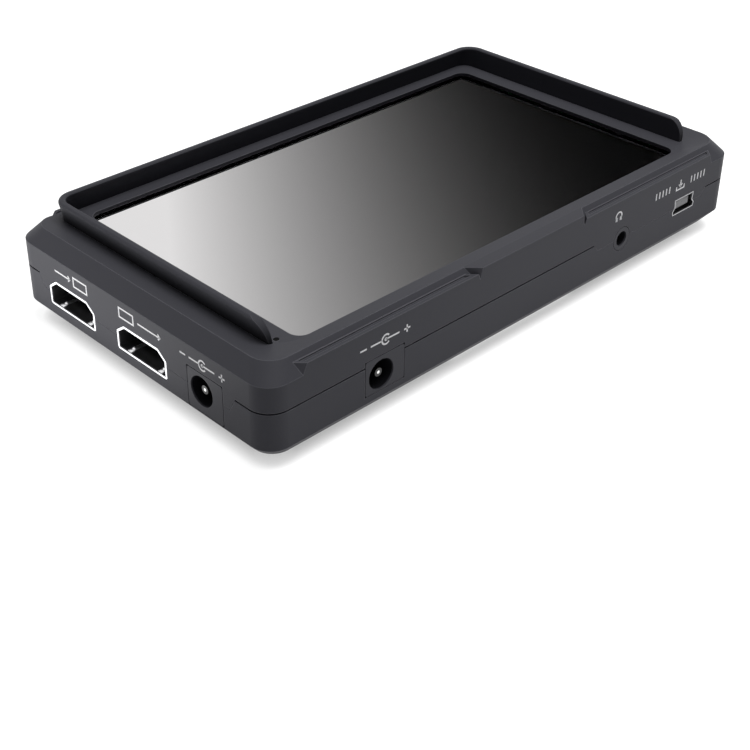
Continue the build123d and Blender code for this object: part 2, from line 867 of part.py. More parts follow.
# Main board, hung under the front half's bosses, and the parts soldered to its underside
with BuildPart() as main_board:
    with BuildSketch(at(board_h)):
        with Locations((0, (board_foot_y + board_top_y) / 2)):
            Rectangle(2 * (half_w - board_side), board_top_y - board_foot_y)
        for side, outward in ((-1, Align.MAX), (1, Align.MIN)):
            with Locations((side * case_screw_x, -case_screw_y)):
                Circle(boss_room, mode=Mode.SUBTRACT)
                Rectangle(board_corner, 2 * boss_room, align=(outward, Align.CENTER), mode=Mode.SUBTRACT)
                Rectangle(2 * boss_room, board_corner, align=(Align.CENTER, Align.MAX), mode=Mode.SUBTRACT)
                Rectangle(board_corner, board_corner, align=(outward, Align.MAX), mode=Mode.SUBTRACT)
        with Locations((-half_w, dc_in_y)):
            Rectangle(2 * (dc_depth + gap), dc_w + 2 * gap, mode=Mode.SUBTRACT)
        with Locations((dc_out_x, -half_h)):
            Rectangle(dc_w + 2 * gap, 2 * (dc_depth + gap), mode=Mode.SUBTRACT)
        with Locations(*board_screw_places):
            Circle(screw_r + fit, mode=Mode.SUBTRACT)
    extrude(amount=board_t)
save(main_board, "main_board")

with BuildPart() as processor_chip:
    with BuildSketch(at(board_h - chip_t)):
        with Locations((chip_x, chip_y)):
            Rectangle(chip_w, chip_w)
    extrude(amount=chip_t)
    chamfer(processor_chip.edges().group_by(Axis.Z)[0], chip_t / 6)
save(processor_chip, "processor_chip")

with BuildPart() as heat_sink:
    with BuildSketch(at(board_h - chip_t - sink_base)):
        with Locations((chip_x, chip_y)):
            Rectangle(sink_w, sink_w)
    extrude(amount=sink_base)
    with BuildSketch(at(board_h - chip_t - sink_base - fin_h)):
        with Locations((chip_x, chip_y)):
            with GridLocations(0, (sink_w - fin_t) / (fin_count - 1), 1, fin_count):
                Rectangle(sink_w, fin_t)
    extrude(amount=fin_h)
save(heat_sink, "heat_sink")

with BuildPart() as board_chips:
    with BuildSketch(at(board_h - small_chip_t)):
        with Locations(*small_chip_places):
            Rectangle(small_chip_w, small_chip_w)
    extrude(amount=small_chip_t)
save(board_chips, "board_chips")

with BuildPart() as power_parts:
    with BuildSketch(at(board_h - coil_t)):
        with Locations(*coil_places):
            Rectangle(coil_w, coil_w)
    extrude(amount=coil_t)
    with BuildSketch(at(board_h - capacitor_t)):
        with Locations(*capacitor_places):
            Circle(capacitor_r)
    extrude(amount=capacitor_t)
save(power_parts, "power_parts")

# Key board with its switches, and the keys in the housing's recessed panels
with BuildPart() as key_board:
    with BuildSketch(facing_y(key_board_y + key_board_t)):
        with BuildLine():
            Polyline((-key_board_x, wall), (key_board_x, wall), (key_board_x, key_board_end),
                     (-key_board_x, key_board_end), close=True)
        make_face()
        with Locations((0, wall)):
            Rectangle(2 * (pocket_x + board_gap), 2 * (latch_roof + retainer_t + gap - wall),
                      mode=Mode.SUBTRACT)
    extrude(amount=key_board_t)
save(key_board, "key_board")

key_row = [(x, key_h) for x in key_xs]

with BuildPart() as key_switches:
    with BuildSketch(facing_y(switch_face_y)):
        with Locations(*key_row):
            Rectangle(switch_w, switch_t)
    extrude(amount=switch_depth)
    with BuildSketch(facing_y(switch_face_y)):
        with Locations(*key_row):
            Rectangle(stem_w + 2 * well_gap, stem_w + 2 * well_gap)
    extrude(amount=well_depth, mode=Mode.SUBTRACT)
save(key_switches, "key_switches")

for name, x in zip(key_names, sorted(key_xs)):
    with BuildPart() as cap:
        with BuildSketch(facing_y(cap_face_y)):
            with Locations((x, key_h)):
                RectangleRounded(key_w, key_t, key_r)
        extrude(amount=cap_face_y - stem_top_y)
        chamfer(cap.edges().group_by(Axis.Y)[-1], cap_edge)
        with BuildSketch(facing_y(cap_flange_y)):
            with Locations((x, key_h)):
                Rectangle(key_w + 2 * key_flange, key_t + 2 * key_flange)
        extrude(amount=key_flange_t)
    save(cap, name)
    with BuildPart() as stem:
        with BuildSketch(facing_y(stem_top_y)):
            with Locations((x, key_h)):
                Rectangle(stem_w, stem_w)
        extrude(amount=stem_top_y - stem_low_y)
    save(stem, f"{name}_stem")


# Sockets. Each is drawn on the outer face with the depth running inwards
def legs(plane, across, reach, low, start, run):
    """Two solder legs, one each side of a place, from a height up to the board's underside."""
    with BuildPart() as pair:
        with BuildSketch(plane.offset(start)):
            with Locations((across - reach, (low + board_h) / 2), (across + reach, (low + board_h) / 2)):
                Rectangle(leg_w, board_h - low)
        extrude(amount=run)
    return pair.part


left_face = facing_x(-half_w)
foot_face = Plane((0, -half_h, grip_rise), x_dir=(-1, 0, 0), z_dir=(0, 1, 0))

for name, y in (("video_in", video_in_y), ("video_out", video_out_y)):
    with BuildPart() as shell:
        extrude(video_outline(y, 0), amount=video_depth)
        extrude(video_outline(y, -video_shell_t), amount=video_depth - video_back_t, mode=Mode.SUBTRACT)
        add(legs(left_face, y, video_top_w / 2 - leg_w, video_low + video_t - video_shell_t,
                 leg_start, leg_run))
    save(shell, f"{name}_shell")
    with BuildPart() as tongue:
        with BuildSketch(left_face.offset(video_depth - video_back_t - tongue_reach)):
            with Locations((y, video_low + video_tongue_h)):
                Rectangle(video_tongue_w, video_tongue_t)
        extrude(amount=tongue_reach)
        chamfer(tongue.edges().group_by(Axis.X)[0].filter_by(Axis.Y), video_tongue_t / 4)
    save(tongue, f"{name}_tongue")


def dc_jack(plane, across, low, top):
    """A power jack's body: a square front with a deep round hole, and a wing each side under the board."""
    with BuildPart() as body:
        with BuildSketch(plane):
            with Locations((across, (low + top) / 2)):
                RectangleRounded(dc_w, top - low, dc_corner_r)
        extrude(amount=dc_depth)
        with BuildSketch(plane.offset(leg_start)):
            with Locations((across, board_h - dc_wing_t / 2)):
                Rectangle(dc_w + 2 * dc_wing_w, dc_wing_t)
        extrude(amount=leg_run)
        with BuildSketch(plane):
            with Locations((across + dc_hole_shift, dc_hole_h)):
                Circle(dc_hole_r)
        extrude(amount=dc_hole_depth, mode=Mode.SUBTRACT)
    return body


def dc_pin(plane, across):
    """A power jack's centre pin, standing on the floor of the hole."""
    with BuildPart() as pin:
        with BuildSketch(plane.offset(dc_pin_back)):
            with Locations((across + dc_hole_shift, dc_hole_h)):
                Circle(dc_pin_r)
        extrude(amount=dc_hole_depth - dc_pin_back)
    return pin


save(dc_jack(left_face, dc_in_y, dc_in_low, dc_in_top), "dc_in_jack")
save(dc_pin(left_face, dc_in_y), "dc_in_pin")
save(dc_jack(foot_face, -dc_out_x, dc_out_low, dc_out_top), "dc_out_jack")
save(dc_pin(foot_face, -dc_out_x), "dc_out_pin")

with BuildPart() as headphone_jack:
    with BuildSketch(foot_face):
        with Locations((-phone_x, phone_h)):
            Circle(phone_collar_r)
    extrude(amount=phone_collar_l)
    with BuildSketch(foot_face.offset(wall + fit)):
        with Locations((-phone_x, board_h - phone_body_t / 2)):
            Rectangle(phone_body_w, phone_body_t)
    extrude(amount=phone_depth - wall - fit)
    with BuildSketch(foot_face):
        with Locations((-phone_x, phone_h)):
            Circle(phone_bore_r)
    extrude(amount=phone_bore_l, mode=Mode.SUBTRACT)
save(headphone_jack, "headphone_jack")

with BuildPart() as service_socket_shell:
    extrude(usb_outline(0), amount=-usb_depth)
    extrude(usb_outline(-usb_shell_t), amount=usb_shell_t - usb_depth, mode=Mode.SUBTRACT)
    add(legs(foot_face, -usb_x, usb_leg_reach, usb_low + usb_t - usb_shell_t, leg_start, usb_leg_run))
save(service_socket_shell, "service_socket_shell")

with BuildPart() as service_socket_tongue:
    with BuildSketch(foot_face.offset(usb_tongue_back)):
        with Locations((-usb_x, usb_low + usb_tongue_h)):
            Rectangle(usb_tongue_w, usb_tongue_t)
    extrude(amount=usb_depth - usb_shell_t - usb_tongue_back)
save(service_socket_tongue, "service_socket_tongue")

# Status light: a small lamp on the board and a pipe up to the bezel
with BuildPart() as status_led:
    with BuildSketch(at(board_h + board_t)):
        with Locations((light_x, light_y)):
            Rectangle(led_w, led_l)
    extrude(amount=led_t)
save(status_led, "status_led")

with BuildPart() as light_pipe:
    with BuildSketch(at(board_h + board_t + led_t)):
        with Locations((light_x, light_y)):
            Circle(light_r - thread_gap)
    extrude(amount=floor_h - gap - board_h - board_t - led_t)
save(light_pipe, "light_pipe")

# Battery plate with its four hooks, and the contacts that meet the battery
with BuildPart() as battery_plate:
    with BuildSketch(at(bay_depth)):
        with Locations((0, bay_y)):
            Rectangle(bay_w - 2 * plate_gap, bay_l - 2 * plate_gap)
        with Locations((0, bay_high)):
            Rectangle(2 * latch_room, 2 * (bay_high - latch_run[0]), mode=Mode.SUBTRACT)
    extrude(amount=plate_t)
    with BuildSketch(at(bay_depth - hook_rise)):
        with Locations(*hook_places):
            Rectangle(hook_t, hook_l)
    extrude(amount=hook_rise)
    with BuildSketch(at(bay_depth - hook_rise)):
        with Locations(*[(x - hook_lip / 2 * (1 if x > 0 else -1), y) for x, y in hook_places]):
            Rectangle(hook_t + hook_lip, hook_l)
    extrude(amount=hook_lip_t)
    with BuildSketch(at(bay_depth)):
        with Locations(*plate_screw_places):
            Circle(plate_screw_head_r + fit)
    extrude(amount=plate_screw_head_t, mode=Mode.SUBTRACT)
    with BuildSketch(at(bay_depth)):
        with Locations(*plate_screw_places):
            Circle(small_screw_r + fit)
    extrude(amount=plate_t, mode=Mode.SUBTRACT)
save(battery_plate, "battery_plate")

terminal_y = bay_low + plate_gap + terminal_l / 2
blade_h = bay_depth - terminal_rise / 2

with BuildPart() as terminal_block:
    with BuildSketch(at(bay_depth - terminal_rise)):
        with Locations((0, terminal_y)):
            Rectangle(terminal_w, terminal_l)
    extrude(amount=terminal_rise)
    chamfer(terminal_block.edges().group_by(Axis.Z)[0], blade_w / 2)
    with BuildSketch(facing_y(terminal_y + terminal_l / 2)):
        with Locations((0, blade_h)):
            with GridLocations(blade_pitch, 0, 3, 1):
                Rectangle(blade_w, blade_t)
    extrude(amount=terminal_l / 2, mode=Mode.SUBTRACT)
save(terminal_block, "terminal_block")

with BuildPart() as battery_contacts:
    with BuildSketch(facing_y(terminal_y + terminal_l / 2 + blade_reach)):
        with Locations((0, blade_h)):
            with GridLocations(blade_pitch, 0, 3, 1):
                Rectangle(blade_w, blade_t)
    extrude(amount=blade_reach + terminal_l / 2)
save(battery_contacts, "battery_contacts")

# Battery latch: a ribbed grip, a tongue with a sloped tooth, and the spring that holds it out
with BuildPart() as battery_latch:
    add(box_between((-latch_w / 2, latch_w / 2), (grip_low, grip_low + grip_l),
                    (ridge_h - grip_rise, wing_top)))
    with BuildSketch(at(-grip_rise)):
        with Locations((0, grip_y)):
            with GridLocations(ridge_pitch, 0, ridge_count, 1):
                Rectangle(ridge_w, grip_l)
    extrude(amount=ridge_h)
    add(box_between((-latch_w / 2, latch_w / 2), (latch_tip, grip_low), (tongue_top - tongue_t, tongue_top)))
    add(box_between((-latch_w / 2 - wing, latch_w / 2 + wing), (wing_y - wing_l / 2, wing_y + wing_l / 2),
                    (tongue_top, wing_top)))
    with BuildSketch(facing_x(-tooth_w / 2)):
        with BuildLine():
            Polyline((latch_tip, tongue_top - tongue_t), (latch_tip, bay_depth - tooth_rise),
                     (latch_tip + tooth_l / 3, bay_depth - tooth_rise),
                     (latch_tip + tooth_l, tongue_top - tongue_t), close=True)
        make_face()
    extrude(amount=tooth_w)
    with BuildSketch(at(spring_seat_h)):
        with Locations((0, grip_y)):
            Circle(spring_room_r)
    extrude(amount=wing_top, mode=Mode.SUBTRACT)
save(battery_latch, "battery_latch")

spring_l = latch_roof - spring_seat_h
with BuildPart() as latch_spring:
    with BuildLine():
        Helix((spring_l - 2 * spring_wire_r) / spring_turns, spring_l - 2 * spring_wire_r, spring_r,
              center=(0, grip_y, grip_rise + spring_seat_h + spring_wire_r))
    with BuildSketch(Plane((spring_r, grip_y, grip_rise + spring_seat_h + spring_wire_r), x_dir=(1, 0, 0),
                           z_dir=(0, 1, 0))):
        RegularPolygon(spring_wire_r, 6)
    sweep(is_frenet=True)
save(latch_spring, "latch_spring")

with BuildPart() as latch_retainer:
    with BuildSketch(at(latch_roof)):
        with Locations((0, (pocket_low + pocket_high) / 2)):
            Rectangle(2 * pocket_x, pocket_high - pocket_low)
        with Locations(*peg_places):
            Rectangle(post_w, post_w)
    extrude(amount=retainer_t)
    with BuildSketch(at(latch_roof)):
        with Locations(*peg_places):
            Rectangle(peg_w, peg_w)
    extrude(amount=-peg_l)
save(latch_retainer, "latch_retainer")

# Threaded insert in the mounting pad
with BuildPart() as mount_insert:
    with BuildSketch(at(-pad_rise)):
        with Locations((pad_x, pad_y)):
            Circle(insert_r)
            Circle(thread_r, mode=Mode.SUBTRACT)
    extrude(amount=insert_l)
save(mount_insert, "mount_insert")

# Screws
save(screws(case_screw_places, head_recess + screw_head_t, screw_head_r, screw_head_t, screw_r, case_screw_l),
     "case_screws")
save(screws(Locations(*board_screw_places), board_h, screw_head_r, screw_head_t, screw_r, board_screw_l),
     "board_screws")
save(screws(Locations(*plate_screw_places), bay_depth + plate_screw_head_t, plate_screw_head_r,
            plate_screw_head_t, small_screw_r, plate_screw_l), "plate_screws")
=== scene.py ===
"""Looks for a camera field monitor with a low sun hood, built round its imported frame.

Lengths are metres. X runs along the width, Y towards the key edge and Z out of the screen. The monitor lies on its
back, on the tip of its battery latch. Places come from the frame's boxes wherever a node gives them.
"""
import math

import bmesh
import bpy
from bpy.props import FloatProperty, FloatVectorProperty, PointerProperty
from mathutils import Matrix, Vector


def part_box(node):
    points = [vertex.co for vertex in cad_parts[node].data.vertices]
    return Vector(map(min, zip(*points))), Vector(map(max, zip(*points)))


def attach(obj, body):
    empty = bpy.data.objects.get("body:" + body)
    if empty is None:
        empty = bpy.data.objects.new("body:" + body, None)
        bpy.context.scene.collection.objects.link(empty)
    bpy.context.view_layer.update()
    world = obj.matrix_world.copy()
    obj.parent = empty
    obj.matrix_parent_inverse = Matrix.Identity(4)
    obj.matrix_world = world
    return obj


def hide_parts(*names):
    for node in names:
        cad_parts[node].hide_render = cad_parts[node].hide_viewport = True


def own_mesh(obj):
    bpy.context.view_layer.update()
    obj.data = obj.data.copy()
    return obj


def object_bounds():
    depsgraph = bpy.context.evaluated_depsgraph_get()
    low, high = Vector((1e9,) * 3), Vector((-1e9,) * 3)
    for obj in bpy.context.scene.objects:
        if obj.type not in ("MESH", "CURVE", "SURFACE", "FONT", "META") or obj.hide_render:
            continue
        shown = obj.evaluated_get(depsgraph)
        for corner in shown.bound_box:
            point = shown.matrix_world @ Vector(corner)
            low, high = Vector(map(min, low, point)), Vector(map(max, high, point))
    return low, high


bl_info = {
    "name": "Camera field monitor",
    "version": (1, 0, 0),
    "blender": (4, 5, 0),
    "location": "View3D > Sidebar > Monitor",
    "description": "Finishes, printed marks and stage for a camera field monitor with a sun hood",
    "category": "Object",
}

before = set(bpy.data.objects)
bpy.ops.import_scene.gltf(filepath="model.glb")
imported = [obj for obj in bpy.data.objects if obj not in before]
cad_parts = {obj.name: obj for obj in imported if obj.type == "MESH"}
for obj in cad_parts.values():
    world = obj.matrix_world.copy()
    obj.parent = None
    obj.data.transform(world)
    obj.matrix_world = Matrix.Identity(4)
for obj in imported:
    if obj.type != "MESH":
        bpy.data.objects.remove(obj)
CAD_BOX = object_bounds()

MM = 0.001
BODY = "monitor"
KEYS = ("function_key_1", "function_key_2", "left_key", "right_key", "menu_key", "down_key", "up_key", "power_key")


def low(node):
    """A node's lowest corner at rest."""
    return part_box(node)[0]


def high(node):
    """A node's highest corner at rest."""
    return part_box(node)[1]


def middle(node):
    """The middle of a node's box at rest."""
    return (low(node) + high(node)) / 2


# Faces of the housing that carry marks. The rear shell's box starts at its mounting pad, which stands
# behind its back
LEFT_X = low("rear_shell").x
FOOT_Y = low("rear_shell").y
PAD_RISE = 0.9 * MM
BACK_Z = low("rear_shell").z + PAD_RISE
KEY_RISE = 0.5 * MM
PANEL_Y = high("power_key").y - KEY_RISE
FLOOR_Z = CAD_BOX[0][2]

# Inner faces of the hood's walls at its foot, and how far they lean by its rim
HOOD_INNER_X = 64.5 * MM
HOOD_INNER_Y = 37.9 * MM
HOOD_DRAFT = 0.55 * MM
HOOD_BACK_DRAFT = 1.35 * MM

# Half sizes of the window in the surround, and the surround's level
WINDOW_X = 60.0 * MM
WINDOW_Y = 34.3 * MM
SURROUND_Z = BACK_Z + 20.1 * MM

# The video sockets' sheet metal
SHELL_WALL = 0.5 * MM

# Screw heads on the back, with the width of the cross in each
CASE_HEAD_RADIUS = 2.2 * MM
CASE_CROSS = 2.3 * MM
PLATE_HEAD_RADIUS = 1.8 * MM
PLATE_CROSS = 1.9 * MM

# The bore of the mounting insert
INSERT_BORE_RADIUS = 2.6 * MM

# Scale of the streaks on metal that shows no direction
EVEN = (900, 900, 900)

# Deep black: painted shade on the screw recess plates and the light pipe, and the unlit cell's own black
SHADE_AND_CELL_BLACK = (0.002, 0.002, 0.002)


# Settings a user would change

class MonitorFinish(bpy.types.PropertyGroup):
    """Colours and surface scale of the monitor's finishes."""
    housing: FloatVectorProperty(
        name="Housing", description="Colour of the moulded housing", subtype="COLOR", min=0, max=1,
        default=(0.058, 0.058, 0.068))
    hood_inside: FloatVectorProperty(
        name="Hood inside", description="Colour of the hood's light-absorbing inner faces", subtype="COLOR", min=0,
        max=1, default=(0.013, 0.013, 0.017))
    keys: FloatVectorProperty(
        name="Keys", description="Colour of the key caps", subtype="COLOR", min=0, max=1,
        default=(0.058, 0.058, 0.068))
    print_colour: FloatVectorProperty(
        name="Printing", description="Colour of the printed marks", subtype="COLOR", min=0, max=1,
        default=(0.93, 0.93, 0.95))
    socket_metal: FloatVectorProperty(
        name="Socket metal", description="Colour of the plated socket shells", subtype="COLOR", min=0, max=1,
        default=(0.62, 0.62, 0.64))
    edge_radius: FloatProperty(
        name="Edge radius", description="How softly moulded edges catch the light", unit="LENGTH", min=0,
        default=0.18 * MM)
    grain_size: FloatProperty(
        name="Grain size", description="Size of the spark-eroded texture on the mouldings", unit="LENGTH",
        min=0.05 * MM, default=0.32 * MM)


class MonitorPrint(bpy.types.PropertyGroup):
    """Sizes of the printed marks."""
    height: FloatProperty(
        name="Mark height", description="Height of a printed mark", unit="LENGTH", min=0, default=2.15 * MM)
    stroke: FloatProperty(
        name="Stroke", description="Width of a printed line", unit="LENGTH", min=0, default=0.38 * MM)
    thickness: FloatProperty(
        name="Ink thickness", description="How far the ink stands on the plastic", unit="LENGTH", min=0,
        default=0.012 * MM)


class MonitorStage(bpy.types.PropertyGroup):
    """Camera, lamps and floor."""
    lens: FloatProperty(name="Lens", description="Focal length on a 36 mm sensor, in millimetres", default=66.65)
    eye: FloatVectorProperty(
        name="Camera place", description="Where the camera stands", subtype="TRANSLATION", unit="LENGTH",
        default=(-203.43 * MM, -198.50 * MM, 162.39 * MM))
    aim: FloatVectorProperty(
        name="Camera direction", description="The way the camera looks", subtype="DIRECTION",
        default=(0.58614, 0.61826, -0.52363))
    shift: FloatVectorProperty(
        name="Lens shift", description="Sideways and upward shift of the picture", size=2,
        default=(0.0383, -0.0868))
    sky: FloatProperty(name="Sky strength", description="Light from all round", default=0.16)
    top_power: FloatProperty(name="Top lamp", description="Power of the lamp overhead, in watts", default=7.2)
    left_power: FloatProperty(
        name="Left panel", description="Power of the panel on the table beside the video sockets, in watts",
        default=0.68)
    foot_power: FloatProperty(
        name="Foot panel", description="Power of the panel on the table below the headphone socket, in watts",
        default=0.14)
    floor: FloatVectorProperty(
        name="Floor", description="Colour of the floor", subtype="COLOR", min=0, max=1, default=(0.45, 0.45, 0.45))


def finish_settings():
    """The finish settings of this scene."""
    return bpy.context.scene.monitor_finish


def print_settings():
    """The print settings of this scene."""
    return bpy.context.scene.monitor_print


# Node tools

def add_node(tree, kind, **values):
    """A node of one kind in a tree, with its inputs and settings by name."""
    made = tree.nodes.new(kind)
    for name, value in values.items():
        label = name.replace("_", " ")
        if label in made.inputs:
            made.inputs[label].default_value = value
        else:
            setattr(made, name, value)
    return made


def math_node(tree, operation, first, second=0.0):
    """A Math node's output, from one or two sockets or numbers."""
    made = tree.nodes.new("ShaderNodeMath")
    made.operation = operation
    for place, value in enumerate((first, second)):
        if isinstance(value, (int, float)):
            made.inputs[place].default_value = value
        else:
            tree.links.new(value, made.inputs[place])
    return made.outputs[0]


def mix_colours(tree, factor, first, second, blend="MIX"):
    """A colour mixed from two, each a socket or an (r, g, b)."""
    made = tree.nodes.new("ShaderNodeMix")
    made.data_type = "RGBA"
    made.blend_type = blend
    for value, socket in ((factor, made.inputs[0]), (first, made.inputs[6]), (second, made.inputs[7])):
        if isinstance(value, bpy.types.NodeSocket):
            tree.links.new(value, socket)
        elif isinstance(value, (int, float)):
            socket.default_value = value
        else:
            socket.default_value = (*value[:3], 1)
    return made.outputs[2]


def grey(tree, value):
    """A grey whose brightness is a socket's value."""
    made = tree.nodes.new("ShaderNodeCombineColor")
    for channel in ("Red", "Green", "Blue"):
        tree.links.new(value, made.inputs[channel])
    return made.outputs[0]


def object_noise(tree, **values):
    """A Noise texture that stays with the object, with its inputs by name."""
    place = tree.nodes.new("ShaderNodeTexCoord")
    made = add_node(tree, "ShaderNodeTexNoise", **values)
    tree.links.new(place.outputs["Object"], made.inputs["Vector"])
    return made


def background_rays(tree):
    """One for rays that see the background straight, in gloss or through glass, else nought."""
    path = tree.nodes.new("ShaderNodeLightPath")
    seen = math_node(tree, "ADD", path.outputs["Is Camera Ray"], path.outputs["Is Glossy Ray"])
    return math_node(tree, "MINIMUM", math_node(tree, "ADD", seen, path.outputs["Is Transmission Ray"]), 1.0)


def new_group(name, inputs, outputs):
    """An empty shader node group with named inputs, each (name, type, default), and outputs, each (name, type)."""
    group = bpy.data.node_groups.new(name, "ShaderNodeTree")
    for label, kind, default in inputs:
        made = group.interface.new_socket(label, in_out="INPUT", socket_type=kind)
        made.default_value = default
    for label, kind in outputs:
        group.interface.new_socket(label, in_out="OUTPUT", socket_type=kind)
    return group, group.nodes.new("NodeGroupInput"), group.nodes.new("NodeGroupOutput")


def rough_normal(group, distance, height, soft):
    """A normal with bumps from a height, on edges that a Bevel node has rounded."""
    bump = add_node(group, "ShaderNodeBump", Strength=1.0)
    group.links.new(distance, bump.inputs["Distance"])
    group.links.new(height, bump.inputs["Height"])
    group.links.new(soft.outputs["Normal"], bump.inputs["Normal"])
    return bump.outputs["Normal"]


SURFACE_OUTPUTS = [("Colour", "NodeSocketColor"), ("Roughness", "NodeSocketFloat"), ("Normal", "NodeSocketVector")]


def moulding_group():
    """Moulded surface: fine grain, a slow change of tone, edges that look rounded, and a painted highlight along
    them.
    """
    name = "moulded_surface"
    if name in bpy.data.node_groups:
        return bpy.data.node_groups[name]
    group, given, out = new_group(
        name,
        [("Colour", "NodeSocketColor", (0.05, 0.05, 0.06, 1)), ("Grain Size", "NodeSocketFloat", 0.3 * MM),
         ("Grain Depth", "NodeSocketFloat", 0.01 * MM), ("Edge Radius", "NodeSocketFloat", 0.15 * MM),
         ("Patchiness", "NodeSocketFloat", 0.08), ("Roughness", "NodeSocketFloat", 0.6),
         ("Edge Wear", "NodeSocketFloat", 0.5)],
        SURFACE_OUTPUTS)
    grain = object_noise(group, Detail=2.0, Roughness=0.6)
    group.links.new(math_node(group, "DIVIDE", 1.0, given.outputs["Grain Size"]), grain.inputs["Scale"])
    patches = object_noise(group, Scale=45.0, Detail=3.0)
    both = math_node(group, "ADD", math_node(group, "MULTIPLY", grain.outputs["Fac"], 0.5), patches.outputs["Fac"])
    mean = 0.75
    swing = math_node(group, "MULTIPLY", math_node(group, "SUBTRACT", both, mean), given.outputs["Patchiness"])
    tone = grey(group, math_node(group, "ADD", swing, 1.0))
    toned = mix_colours(group, 1.0, given.outputs["Colour"], tone, "MULTIPLY")
    soft = add_node(group, "ShaderNodeBevel", samples=6)
    group.links.new(given.outputs["Edge Radius"], soft.inputs["Radius"])
    flat = group.nodes.new("ShaderNodeNewGeometry")
    turned = add_node(group, "ShaderNodeVectorMath", operation="DOT_PRODUCT")
    group.links.new(soft.outputs["Normal"], turned.inputs[0])
    group.links.new(flat.outputs["Normal"], turned.inputs[1])
    # Painted highlight: where the Bevel node turns the normal, the colour is lightened along the edge
    highlight_gain = 6.0
    edge = math_node(group, "MULTIPLY", math_node(group, "SUBTRACT", 1.0, turned.outputs["Value"]), highlight_gain)
    edge = math_node(group, "MINIMUM", math_node(group, "MULTIPLY", edge, given.outputs["Edge Wear"]), 1.0)
    highlight_lift = (0.07, 0.07, 0.077)
    highlighted = mix_colours(group, 1.0, given.outputs["Colour"], highlight_lift, "ADD")
    group.links.new(mix_colours(group, edge, toned, highlighted), out.inputs["Colour"])
    group.links.new(math_node(group, "ADD", given.outputs["Roughness"], swing), out.inputs["Roughness"])
    normal = rough_normal(group, given.outputs["Grain Depth"], grain.outputs["Fac"], soft)
    group.links.new(normal, out.inputs["Normal"])
    return group


def brushed_group():
    """Metal drawn or turned one way: fine streaks along one axis."""
    name = "brushed_surface"
    if name in bpy.data.node_groups:
        return bpy.data.node_groups[name]
    group, given, out = new_group(
        name,
        [("Colour", "NodeSocketColor", (0.7, 0.7, 0.7, 1)), ("Along", "NodeSocketVector", (200, 4000, 4000)),
         ("Depth", "NodeSocketFloat", 0.004 * MM), ("Roughness", "NodeSocketFloat", 0.3)],
        SURFACE_OUTPUTS)
    place = group.nodes.new("ShaderNodeTexCoord")
    stretch = add_node(group, "ShaderNodeVectorMath", operation="MULTIPLY")
    group.links.new(place.outputs["Object"], stretch.inputs[0])
    group.links.new(given.outputs["Along"], stretch.inputs[1])
    streaks = add_node(group, "ShaderNodeTexNoise", Scale=1.0, Detail=3.0)
    group.links.new(stretch.outputs[0], streaks.inputs["Vector"])
    contrast = 0.3
    streak = math_node(group, "MULTIPLY", streaks.outputs["Fac"], contrast)
    shade = math_node(group, "ADD", streak, 1 - contrast / 2)
    colour = mix_colours(group, 1.0, given.outputs["Colour"], grey(group, shade), "MULTIPLY")
    group.links.new(colour, out.inputs["Colour"])
    group.links.new(math_node(group, "MULTIPLY", given.outputs["Roughness"], shade), out.inputs["Roughness"])
    soft = add_node(group, "ShaderNodeBevel", samples=6, Radius=0.08 * MM)
    normal = rough_normal(group, given.outputs["Depth"], streaks.outputs["Fac"], soft)
    group.links.new(normal, out.inputs["Normal"])
    return group


def blank_material(name, metallic=0.0, specular=0.5):
    """A new material with a Principled shader, as (material, tree, shader)."""
    made = bpy.data.materials.new(name)
    made.use_nodes = True
    tree = made.node_tree
    tree.nodes.clear()
    shader = add_node(tree, "ShaderNodeBsdfPrincipled")
    shader.inputs["Metallic"].default_value = metallic
    shader.inputs["Specular IOR Level"].default_value = specular
    target = add_node(tree, "ShaderNodeOutputMaterial")
    tree.links.new(shader.outputs["BSDF"], target.inputs["Surface"])
    return made, tree, shader


def place_group(tree, shader, group, colour, **values):
    """Puts an effect group in a material and feeds the shader's colour, roughness and normal from it."""
    made = tree.nodes.new("ShaderNodeGroup")
    made.node_tree = group
    if isinstance(colour, bpy.types.NodeSocket):
        tree.links.new(colour, made.inputs["Colour"])
    else:
        made.inputs["Colour"].default_value = (*colour[:3], 1)
    for name, value in values.items():
        made.inputs[name.replace("_", " ")].default_value = value
    tree.links.new(made.outputs["Colour"], shader.inputs["Base Color"])
    tree.links.new(made.outputs["Roughness"], shader.inputs["Roughness"])
    tree.links.new(made.outputs["Normal"], shader.inputs["Normal"])


def mould(tree, shader, colour, roughness, grain=1.0, patchiness=0.08, edge=1.0, wear=0.5):
    """Gives a material the moulded surface with its painted edge highlight. grain and edge scale the scene's grain
    size and edge radius, and wear sets how strong the painted highlight is.
    """
    settings = finish_settings()
    depth_share = 0.03
    place_group(tree, shader, moulding_group(), colour, Grain_Size=settings.grain_size * grain,
                Grain_Depth=depth_share * settings.grain_size * grain, Edge_Radius=settings.edge_radius * edge,
                Patchiness=patchiness, Roughness=roughness, Edge_Wear=wear)


def plastic(name, colour, roughness=0.6, specular=0.5, **surface):
    """A moulded plastic or rubber of one colour; surface is what mould takes."""
    made, tree, shader = blank_material(name, specular=specular)
    mould(tree, shader, colour, roughness, **surface)
    return made


def metal(name, colour, roughness=0.3, along=(300, 4000, 4000)):
    """A drawn, stamped or turned metal, with streaks that are long where along is small."""
    made, tree, shader = blank_material(name, metallic=1.0)
    place_group(tree, shader, brushed_group(), colour, Along=along, Roughness=roughness)
    return made


def axis_sockets(tree):
    """A place on the object as three sockets, X, Y and Z in metres."""
    place = tree.nodes.new("ShaderNodeTexCoord")
    split = tree.nodes.new("ShaderNodeSeparateXYZ")
    tree.links.new(place.outputs["Object"], split.inputs[0])
    return split.outputs["X"], split.outputs["Y"], split.outputs["Z"]


